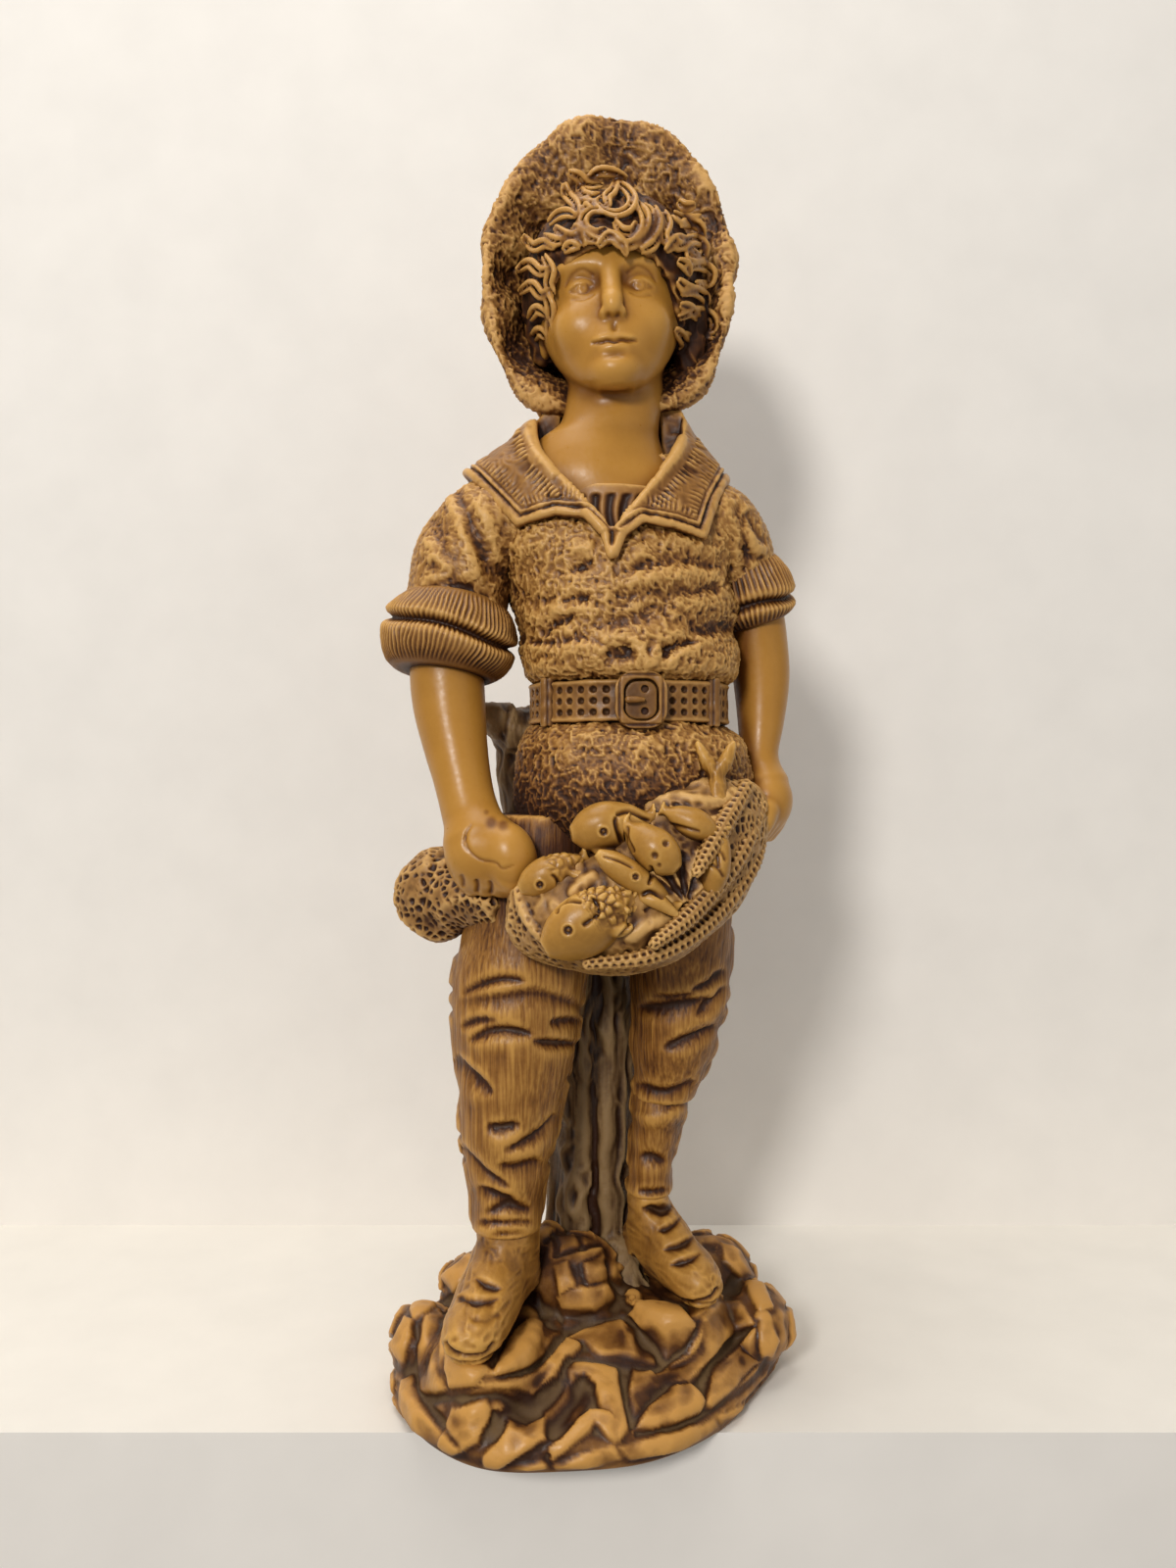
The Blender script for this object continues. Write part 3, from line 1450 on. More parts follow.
@dataclass(frozen=True)
class Stump:
    """The tree stump behind the legs."""

    GRAIN: float = 0.55
    KNOTS: tuple = (
        (-9, 10.5, 62, 2.4), (-8.5, 10.5, 38, 2.0), (-4, 9.5, 44, 1.6), (7.5, 10, 104, 1.7),
        (-11, 10.5, 96, 2.2), (4, 29, 70, 3.0), (-12, 26, 130, 3.2), (12, 22, 54, 2.4),
    )

    def make(self, shop: Shop) -> None:
        """Makes the stump.

        Args:
            shop: Where pieces are made.
        """
        wide, deep = 12.5, 9.5
        clay = Clay((-33, 2, 14), (20, 35, 178), self.GRAIN)
        trunk = [
            (1.5, 20, ROCK - 3, wide + 3, deep + 2), (1.3, 19.5, ROCK + 14, wide, deep),
            (1.2, 19, KNEE - 15, wide - 0.8, deep - 0.5), (-1, 18.5, KNEE + 10, wide - 0.4, deep),
            (-6, 18, HIP - 14, wide + 1, deep), (-10.5, 17, HIP + 8, wide + 1, deep),
            (-14.5, 16, HIP + 22, wide - 2, deep - 2), (-16.5, 15, WAIST, wide - 7, deep - 5),
        ]
        clay.add(clay.of(limb(trunk, sides=72, rings=90)))
        branch = [(-16, 13, WAIST - 9, 4.6), (-22, 11, WAIST - 4.5, 3.8), (-26.4, 9.5, WAIST - 2, 2.2)]
        clay.rod(branch, 3.0)
        split = [(2.2, 8.4, ROCK + 4, 1.5, 3.4), (1.6, 8.4, ROCK + 26, 1.7, 3.4), (1.8, 8.2, KNEE, 1.9, 3.4),
                 (0, 8.0, HIP - 20, 1.2, 2.4)]
        clay.cut(clay.of(limb(split)), 2.4)
        for root in (
            [(-8, 12, ROCK + 6, 4.5), (-13, 9.5, ROCK + 1, 3.4), (-17, 8, ROCK - 3, 2.4)],
            [(8, 11, ROCK + 8, 3.6), (11, 7, ROCK + 1, 3.0), (13, 3, ROCK - 3, 2.2)],
        ):
            clay.rod(root, 3.0)
        clay.soften(1)
        surface = clay.skin()
        p = surface.points
        bark = np.stack([p[:, 0], p[:, 1], 0.16 * p[:, 2] + 1.5 * np.sin(p[:, 2] / 17)], axis=1)
        twist = np.stack([cloud(p, 6, 23), cloud(p, 6, 24), 0 * p[:, 2]], axis=1) - 0.5
        bark = bark + 3.0 * twist
        height = 1.7 * (ridges(bark, 3.4, 21) - 0.55) + 0.6 * (ridges(bark, 1.5, 22) - 0.5)
        for x, y, z, size in self.KNOTS:
            far = np.sqrt((p[:, 0] - x) ** 2 + (p[:, 1] - y) ** 2 + (0.42 * (p[:, 2] - z)) ** 2)
            lip = np.exp(-(((far - 1.5 * size) / (0.45 * size)) ** 2))
            height += 1.1 * lip - 1.7 * np.exp(-((far / size) ** 2))
        surface.push(height)
        surface.film = 0.55 * cloud(surface.points, 16, 4) * ease(surface.crest(), -0.4, 0.3)
        shop.piece("bark_stump", surface, STUMP, "tree_stump")


on_legs = LEG_PATCH.run
TROUSER_SLASHES = strokes(
    on_legs,
    ((2.6, -1.2, 0.6), 5, 165, 70, 132, 150, 112, 250, 116),
    ((3.9, -1.2, 0.3), -10, 190, 130, 182, 260, 168, 400, 196, 450, 222),
    ((2.2, -1.1, 0.4), 0, 282, 60, 262, 135, 262),
    ((2.7, -1.5, 0.7), 30, 335, 100, 305, 180, 300, 270, 312),
    ((2.3, -1.3, 0.6), 262, 336, 340, 346, 430, 346),
    ((2.3, -1.1, 0.3), 325, 270, 390, 262, 440, 258),
    ((2.3, -1.1, -0.6), -10, 380, 40, 430, 90, 480, 125, 530),
    ((2.7, -1.5, 0.7), 92, 648, 150, 658, 222, 640),
    ((2.7, -1.3, 0.8), 158, 742, 240, 712, 300, 668, 352, 600),
    ((3.9, -1.1, 0.7), 130, 796, 200, 812, 300, 776),
    ((2.6, -1.1, 0.7), -15, 700, 40, 780, 90, 830, 190, 880),
    ((2.7, -1.4, 0.7), 62, 870, 120, 905, 220, 936),
    ((3.2, -1.6, 0.6), 90, 966, 170, 952, 262, 956),
    ((2.3, -0.9, 0.6), 60, 1000, 160, 1012, 270, 1000),
    ((2.6, -1.3, 0.4), 110, 1046, 190, 1052, 246, 1040),
    ((2.6, -1.3, 0.7), 846, 156, 910, 132, 972, 70),
    ((2.3, -0.9, 0.4), 700, 170, 780, 180, 870, 165),
    ((3.9, -1.8, 0.9), 648, 214, 760, 222, 860, 206, 940, 176),
    ((2.3, -0.9, 0.9), 868, 250, 920, 206, 976, 130),
    ((2.9, -1.6, 0.9), 745, 362, 830, 334, 940, 276),
    ((3.9, -1.9, 0.7), 636, 492, 720, 534, 790, 530, 866, 480),
    ((2.6, -1.2, 0.4), 655, 752, 700, 762, 756, 780),
    ((2.7, 0.6, 0.3), 640, 590, 700, 612, 760, 596, 840, 560),
    ((2.3, -1.1, 0.4), 646, 884, 700, 892, 770, 880),
    ((2.3, -1.2, 0.4), 676, 946, 740, 950, 782, 938),
    ends=(1.3, 0.45),
)
BOOT_SLASHES = strokes(
    on_base,
    ((1.8, -1.3, 0.3, 1.3, 0.34), 322, 424, 366, 444, 418, 462),
    ((2.1, -1.4, 0.3, 1.3, 0.34), 258, 488, 330, 500, 410, 494),
    ((0.9, -0.4), 300, 560, 360, 566, 410, 548),
    ((1.7, -1.3, 0.3, 1.3, 0.34), 898, 180, 960, 188, 1006, 178),
    ((1.7, -1.3, 0.3, 1.3, 0.34), 954, 262, 1000, 240, 1036, 212),
    ((1.8, -1.4, 0.3, 1.3, 0.34), 974, 326, 1036, 304, 1086, 276),
    ((1.8, -1.4, 0.3, 1.3, 0.34), 996, 380, 1050, 360, 1108, 336),
    ((0.6, -1.0, 0, 5), 214, 640, 240, 676, 300, 694, 366, 682, 392, 640),
    ((0.6, -1.0, 0, 5), 862, 340, 920, 430, 990, 486, 1070, 508, 1140, 492, 1168, 452),
)


def rearward_folds(surface: Surface, low: float, high: float, seed: int, depth: float = 1.1) -> Array:
    """Lays slanting folds over the back of a leg or sleeve.

    Args:
        surface: The surface.
        low: Lowest level in mm.
        high: Highest level in mm.
        seed: Which folds.
        depth: How deep they are in mm.

    Returns:
        The height of each point in mm.
    """
    p = surface.points
    stretched = np.stack([0.45 * p[:, 0] + 0.25 * p[:, 2], 0.45 * p[:, 1], p[:, 2]], axis=1)
    wave = ridges(stretched, 8.5, seed)
    within = ease(p[:, 2], low, low + 4) * (1 - ease(p[:, 2], high - 4, high))
    return depth * (0.5 - ease(wave, 0.62, 1.0)) * within * (1 - surface.facing())


@dataclass(frozen=True)
class Legs:
    """The loose trousers and the stocking that shows under one of them."""

    GRAIN: float = 0.5
    RIGHT: tuple = (
        (RIGHT_LEG_X - 0.6, -6, ANKLE + 0.8, 8.9, 10), (RIGHT_LEG_X - 0.4, -6, ANKLE + 9, 9.2, 10.4),
        (RIGHT_LEG_X - 0.3, -5.8, ANKLE + 20, 11.4, 12.4), (RIGHT_LEG_X + 0.2, -5, KNEE - 20, 13.2, 14.2),
        (RIGHT_LEG_X + 1.5, -4, KNEE - 6, 15, 15.4), (RIGHT_LEG_X + 1.8, -3, KNEE + 5, 17, 17),
        (RIGHT_LEG_X + 3, -2, KNEE + 17, 17, 17.6), (RIGHT_LEG_X + 6, 0, HIP - 20, 17.2, 18),
        (RIGHT_LEG_X + 11, 1, HIP + 3, 17, 18),
    )
    LEFT: tuple = (
        (LEFT_LEG_X + 3, 7, KNEE - 20, 7.8, 9), (LEFT_LEG_X + 4.2, 7, KNEE - 14, 9.6, 11),
        (LEFT_LEG_X + 6, 6.5, KNEE - 3, 11.4, 13), (LEFT_LEG_X + 7.5, 6, KNEE + 8, 12.6, 14.4),
        (LEFT_LEG_X + 7, 4, KNEE + 22, 13.6, 16), (LEFT_LEG_X + 4, 2, HIP - 14, 15.5, 17.5),
        (LEFT_LEG_X + 1, 1, HIP + 3, 16, 18),
    )
    STOCKING: tuple = (
        (LEFT_LEG_X - 1, 8, ANKLE + 4.6, 6.1, 7.1), (LEFT_LEG_X - 0.2, 8, ANKLE + 14, 5.9, 6.9),
        (LEFT_LEG_X + 1.5, 7.5, KNEE - 24, 7, 8), (LEFT_LEG_X + 3, 7, KNEE - 16, 8, 9),
    )

    def _leg(self, stations: Sequence[Sequence[float]], seed: int, top_stain: float, stain: float = 0.0,
             ) -> Surface:
        """Makes a leg of the trousers.

        Args:
            stations: The limb's stations.
            seed: Which noise.
            top_stain: How dark it is under the net.
            stain: How dark it is all over.

        Returns:
            The surface.
        """
        given = np.asarray(stations)
        low = (given[:, :2] - given[:, 3:5]).min(0) - 3
        high = (given[:, :2] + given[:, 3:5]).max(0) + 3
        clay = Clay((*low, given[0, 2] - 1), (*high, given[-1, 2] + 1), self.GRAIN)
        clay.add(clay.of(limb(stations, sides=72, rings=80, level=True, swell=folds(4.5, 0.016))))
        clay.soften(2)
        surface = clay.skin()
        surface.push(surface.carve(TROUSER_SLASHES))
        surface.push(rearward_folds(surface, given[0, 2], given[-1, 2], seed, 1.3))
        surface.relax(1)
        surface.push(0.22 * (cloud(surface.points, 3.5, seed) - 0.5))
        surface.push(0.16 * (ridges(surface.points * np.array([1, 1, 0.06]), 1.05, seed + 5) - 0.5))
        surface.film = ease(-surface.crest(), 0.5, 1.3) * 0.5
        height = surface.points[:, 2] + 4 * (cloud(surface.points, 12, seed + 6) - 0.5)
        surface.stain = top_stain * ease(height, HIP - 28, HIP - 6) + stain
        return surface

    def make(self, shop: Shop) -> None:
        """Makes both legs of the trousers and the stocking.

        Args:
            shop: Where pieces are made.
        """
        shop.piece("trousers_right", self._leg(self.RIGHT, 31, 0.6), TROUSERS, "right_trouser_leg")
        shop.piece("trousers_left", self._leg(self.LEFT, 32, 0.8, 0.35), TROUSERS, "left_trouser_leg")
        shop.piece("stocking", self._leg(self.STOCKING, 33, 0.0, 0.1), TROUSERS, "left_stocking")


@dataclass(frozen=True)
class Boots:
    """The short boots."""

    GRAIN: float = 0.45

    def _boot(self, heel: tuple[float, float], toe: tuple[float, float], sole: float, half: float,
              shaft: Sequence[Sequence[float]], seed: int) -> Surface:
        """Makes a boot.

        Args:
            heel: The heel's x and y in mm.
            toe: The toe's x and y in mm.
            sole: The sole's level in mm.
            half: The foot's half width in mm.
            shaft: The shaft's stations.
            seed: Which noise.

        Returns:
            The surface.
        """

        def on(share: float, rise: float, wide: float, tall: float) -> tuple[float, ...]:
            """Places a station along the foot.

            Args:
                share: How far from the heel to the toe.
                rise: Its height over the sole in mm.
                wide: Its half width in mm.
                tall: Its half depth in mm.

            Returns:
                The station.
            """
            x = heel[0] + share * (toe[0] - heel[0])
            y = heel[1] + share * (toe[1] - heel[1])
            return x, y, sole + rise, wide, tall

        foot = [on(-0.02, 5.5, 0.45 * half, 4), on(0.1, 7.5, 0.9 * half, 8), on(0.36, 9.5, half, 9.5),
                on(0.68, 7, 1.03 * half, 7), on(0.9, 5.6, 0.92 * half, 5.5), on(1, 4.8, 0.6 * half, 3.6)]
        given = np.asarray([*[f[:3] for f in foot], *[s[:3] for s in shaft]])
        clay = Clay(given.min(0) - 14, given.max(0) + 14, self.GRAIN)
        clay.add(clay.of(limb(foot, facing=(0, 0, 1), sides=56)))
        clay.add(clay.ball(on(0.93, 4.9, 0, 0)[:3], (0.74 * half, 0.74 * half, 4.9)), 2.5)
        clay.add(clay.of(limb(shaft, level=True)), 3.5)
        clay.keep(sole - clay.z + 0 * clay.x + 0 * clay.y)
        clay.keep(clay.z - shaft[-1][2] + 0 * clay.x + 0 * clay.y)
        clay.soften(1)
        surface = clay.skin()
        surface.push(surface.carve(BOOT_SLASHES) + surface.carve(TROUSER_SLASHES))
        p = surface.points
        rim = np.abs(p[:, 2] - (sole + 2.1))
        surface.push(-0.5 * np.exp(-((rim / 0.45) ** 2)))
        along = np.array([toe[0] - heel[0], toe[1] - heel[1], 0.0])
        along /= np.linalg.norm(along)
        hatch = np.stack([p @ along * 0.25, p @ np.array([along[1], -along[0], 0]), p[:, 2]], axis=1)
        toeward = ease((p - np.array([heel[0], heel[1], 0])) @ along, 26, 34)
        surface.push((0.24 + 0.16 * toeward) * (ridges(hatch, 1.5, seed) - 0.6))
        surface.push(rearward_folds(surface, sole + 8, sole + 30, seed, 0.9))
        creases = np.stack([p[:, 0], 0.5 * p[:, 1], 0.8 * p[:, 2]], axis=1)
        surface.push(0.16 * (cloud(creases, 3.4, seed + 7) - 0.5))
        surface.film = ease(-surface.crest(), 0.5, 1.3) * 0.5
        return surface

    def make(self, shop: Shop) -> None:
        """Makes both boots.

        Args:
            shop: Where pieces are made.
        """
        right_shaft = [(RIGHT_LEG_X, -2, ROCK + 6, 7.6, 8.4), (RIGHT_LEG_X - 0.4, -5, ANKLE - 8, 7.8, 8.8),
                       (RIGHT_LEG_X - 0.6, -6, ANKLE + 2.4, 7.9, 8.9)]
        right = self._boot((-19, 6), (-28, -35), ROCK - 0.8, 7.6, right_shaft, 41)
        shop.piece("boot_right", right, BOOTS, "right_boot")
        step = ROCK + LEFT_STEP
        left_shaft = [(LEFT_LEG_X - 0.5, 10, step + 6, 6.0, 7.4), (LEFT_LEG_X - 1, 8.5, ANKLE - 4, 5.5, 6.8),
                      (LEFT_LEG_X - 1, 8, ANKLE + 6, 5.3, 6.2)]
        left = self._boot((13.5, 16), (29.4, -11.5), step - 0.8, 6.6, left_shaft, 42)
        shop.piece("boot_left", left, BOOTS, "left_boot")


def wool(surface: Surface, size: float, depth: float, seed: int) -> Array:
    """Matted wool all over a surface.

    Args:
        surface: The surface.
        size: Size of its curls in mm.
        depth: Depth between them in mm.
        seed: Which wool.

    Returns:
        The height of each point in mm.
    """
    p = surface.points
    warp = np.stack([cloud(p, 1.7 * size, seed + 80 + k) for k in range(3)], axis=1)
    curls = ridges(p + 0.9 * size * (warp - 0.5), size, seed)
    small = ridges(p, 0.52 * size, seed + 40)
    pits = ease(cloud(p, 0.62 * size, seed + 60), 0.66, 0.9)
    return depth * (1.0 * curls**4 + 0.5 * small**2 - 0.5 - 0.7 * pits)


on_chest = CHEST_PATCH.run
BLOUSE_FOLDS = strokes(
    on_chest,
    ((2.3, -1.0, 0.3), 640, 690, 740, 672, 860, 668, 1010, 650),
    ((2.2, 1.0), 670, 640, 760, 612, 880, 596, 1030, 606),
    ((1.8, 0.7), 700, 540, 760, 500, 850, 486, 940, 510),
    ((1.6, -0.7), 690, 580, 780, 560, 900, 552, 980, 570),
    ((1.2, -1.1, 0.3, 2), 480, 600, 520, 580, 566, 556),
    ((1.4, -1.2, 0.3, 2), 446, 704, 500, 688, 552, 690),
    ((1.3, -0.9, 0.3, 2), 380, 816, 440, 778, 510, 740),
    ((2.2, -0.8), 280, 640, 350, 694, 440, 690),
    ((3.0, 0.8), 290, 520, 360, 470, 470, 470, 560, 520),
    ((2.4, 0.6), 330, 760, 430, 720, 520, 720, 620, 740),
    ((2.4, -1.9, 0, 2), 596, 872, 646, 880, 702, 856),
    ((1.5, 0.9), 712, 820, 744, 886, 770, 896, 792, 840),
    ((1.5, -1.8, 0.3, 2), 806, 884, 836, 850, 890, 836, 930, 828),
    ((1.2, 0.6), 826, 910, 880, 872, 936, 838),
    ((1.3, -0.8, 0.4, 3), 336, 832, 430, 840, 520, 826, 590, 842),
    ((2.4, -0.6, 0.4), 560, 770, 640, 780, 740, 752, 860, 700),
    ((1.8, -0.7, 0.3), 880, 790, 960, 800, 1050, 780),
    ((2.0, -1.0), 250, 700, 262, 780, 300, 850),
    ((2.0, -1.2), 232, 450, 236, 560, 262, 660),
    ((1.6, -0.9), 1050, 560, 1062, 640, 1056, 740),
    ((1.2, 0.4), 600, 470, 612, 560, 604, 690),
)


@dataclass(frozen=True)
class Blouse:
    """The woolly blouse, its skirt below the belt and the shirt front at the neck."""

    GRAIN: float = 0.42
    STATIONS: tuple = (
        (BODY_X, 0, WAIST + 5.3, 25, 19), (BODY_X + 0.2, -1, WAIST + 8, 27.6, 21.8),
        (BODY_X, -1, WAIST + 13, 28.2, 21.6), (BODY_X - 0.6, -1, WAIST + 18, 27.6, 20.6),
        (BODY_X - 1, -0.5, WAIST + 25, 29, 21.2), (BODY_X - 2.5, 0, SHOULDER - 19, 30.5, 20.5),
        (BODY_X - 4, 0.5, SHOULDER - 10, 32.5, 19), (BODY_X - 5, 1, SHOULDER - 1, 32, 16.8),
        (HEAD_X - 0.5, 1, SHOULDER + 5, 26, 15), (HEAD_X, 1, SHOULDER + 10, 19, 14),
    )
    NECKLINE: tuple = (
        (HEAD_X - 24, SHOULDER + 22), (HEAD_X - 20.5, SHOULDER + 8), (HEAD_X - 13.5, SHOULDER),
        (HEAD_X - 0.6, SHOULDER - 15), (HEAD_X + 22, SHOULDER + 22),
    )
    SKIRT: tuple = (
        (BODY_X, -0.5, WAIST - 35, 25, 19.5), (BODY_X + 0.5, -1, WAIST - 31, 28, 21.5),
        (BODY_X + 1, -1.5, WAIST - 25, 30, 23), (BODY_X + 1, -1, WAIST - 16, 30, 22.8),
        (BODY_X + 0.8, -0.5, WAIST - 9, 28.5, 21.5), (BODY_X, 0, WAIST - 5.3, 25, 18.4),
    )

    def _bodice(self) -> Surface:
        """Makes the blouse above the belt.

        Returns:
            The surface.
        """
        clay = Clay((-32, -26, WAIST + 3), (44, 26, SHOULDER + 12), self.GRAIN)
        clay.add(clay.of(limb(self.STATIONS, sides=96, rings=90, level=True, swell=folds(5, 0.012))))
        front = clay.outline(self.NECKLINE) + 0 * clay.y
        clay.cut(np.maximum(front, clay.y + 7))
        clay.soften(2)
        surface = clay.skin()
        p = surface.points
        lie = np.stack([0.3 * p[:, 0], 0.3 * p[:, 1], p[:, 2] + 0.1 * p[:, 0]], axis=1)
        broad = 1.5 * (cloud(lie, 5.5, 51) - 0.5) * ease(SHOULDER - p[:, 2], 4, 16)
        surface.push(surface.carve(BLOUSE_FOLDS) + broad)
        surface.relax(3)
        surface.push(wool(surface, 1.65, 0.5, 52))
        return surface

    def _skirt(self) -> Surface:
        """Makes the blouse below the belt.

        Returns:
            The surface.
        """
        clay = Clay((-23, -27, WAIST - 37), (44, 25, WAIST + 8), self.GRAIN)
        clay.add(clay.of(limb(self.SKIRT, sides=96, rings=70, level=True)))
        band = [(BODY_X, 0, level, WAIST_HALF_WIDTH, WAIST_HALF_DEPTH) for level in (WAIST - 8, WAIST + 8)]
        clay.add(clay.of(limb(band, sides=72)), 2)
        clay.soften(2)
        surface = clay.skin()
        surface.push(1.6 * (cloud(surface.points, 7, 61) - 0.5))
        surface.push(wool(surface, 1.7, 0.54, 62) * ease(WAIST - 4 - surface.points[:, 2], 0, 2))
        p = surface.points
        surface.stain = 1.5 * (1 - ease(p[:, 2], WAIST - 26, WAIST - 12)) + 0.6 * (1 - ease(p[:, 0], -17, -4))
        surface.stain += 0.35
        return surface

    def _shirt_front(self) -> Surface:
        """Makes the pleated front at the neck.

        Returns:
            The surface.
        """
        clay = Clay((-14, -18, SHOULDER - 21), (27, 12, SHOULDER + 2), 0.4)
        rows = [(HEAD_X - 0.6, -3, SHOULDER - 19, 9, 13.5), (HEAD_X - 0.3, -3, SHOULDER - 10, 15, 13),
                (HEAD_X, -2, SHOULDER - 0.6, 19, 13)]
        clay.add(clay.of(limb(rows, sides=96)))
        clay.soften(2)
        surface = clay.skin()
        p = surface.points
        lean = (p[:, 0] - HEAD_X) / (1 + 0.05 * (p[:, 2] - SHOULDER + 19))
        pleats = np.sin(2 * math.pi * lean / 2.1 + 0.9 * np.sin(p[:, 2] / 2.3))
        below = 1 - ease(p[:, 2], SHOULDER - 2.6, SHOULDER - 1.5)
        surface.push((0.42 * pleats - 0.35) * below)
        surface.stain = 0.5 * below
        return surface

    def make(self, shop: Shop) -> None:
        """Makes the blouse's pieces.

        Args:
            shop: Where pieces are made.
        """
        shop.piece("blouse_body", self._bodice(), BLOUSE, "blouse")
        shop.piece("blouse_skirting", self._skirt(), BLOUSE, "blouse_skirt")
        shop.piece("pleated_front", self._shirt_front(), COLLAR, "shirt_front")


SLEEVE_FOLDS = strokes(
    on_chest,
    ((2.2, -0.7, -0.2), 90, 300, 140, 420, 190, 540, 236, 620),
    ((2.2, -0.6, -0.2), 20, 400, 60, 510, 110, 600),
    ((1.7, 0.9), 60, 320, 110, 450, 164, 610),
    ((1.6, 0.6), 150, 330, 200, 430, 236, 560),
    ((1.7, 0.6), -20, 470, 20, 560, 60, 600),
    ((1.6, -0.9, 0.2), -10, 560, 60, 612, 150, 656),
    ((1.4, -1.0, 0.2), -10, 648, 90, 642, 200, 694),
    ((1.4, -1.0, 0.2), 1056, 350, 1086, 450, 1090, 600),
    ((1.3, -0.9, 0.2), 1096, 380, 1126, 440, 1160, 500),
    ((1.3, 0.6), 1086, 430, 1120, 480, 1150, 530),
    ((1.2, -0.8, 0.2), 1086, 500, 1120, 545, 1160, 545),
    ((1.3, -0.8, 0.2), 1084, 640, 1120, 610, 1180, 560),
)


def around(points: Array, stations: Sequence[Sequence[float]], facing: Sequence[float] = (0, 1, 0),
           ) -> tuple[Array, Array, Array]:
    """Finds where points lie along and round a limb.

    Args:
        points: Points in mm.
        stations: The limb's stations.
        facing: The way that its half depth lies.

    Returns:
        The share along, the angle round and the distance from the middle line of each point.
    """
    line = curve(stations, np.linspace(0, 1, 61))[:, :3]
    tangent = np.gradient(line, axis=0)
    tangent /= np.linalg.norm(tangent, axis=1)[:, None]
    across = np.cross(tangent, np.asarray(facing, float))
    across /= np.linalg.norm(across, axis=1)[:, None]
    through = np.cross(across, tangent)
    gaps = ((points[:, None, :] - line[None, :, :]) ** 2).sum(2)
    near = gaps.argmin(1)
    away = points - line[near]
    along = np.einsum("ij,ij->i", away, tangent[near])
    side = np.einsum("ij,ij->i", away, across[near])
    deep = np.einsum("ij,ij->i", away, through[near])
    step = np.linalg.norm(line[1] - line[0])
    return (near + along / step) / 60, np.arctan2(deep, side), np.hypot(side, deep)


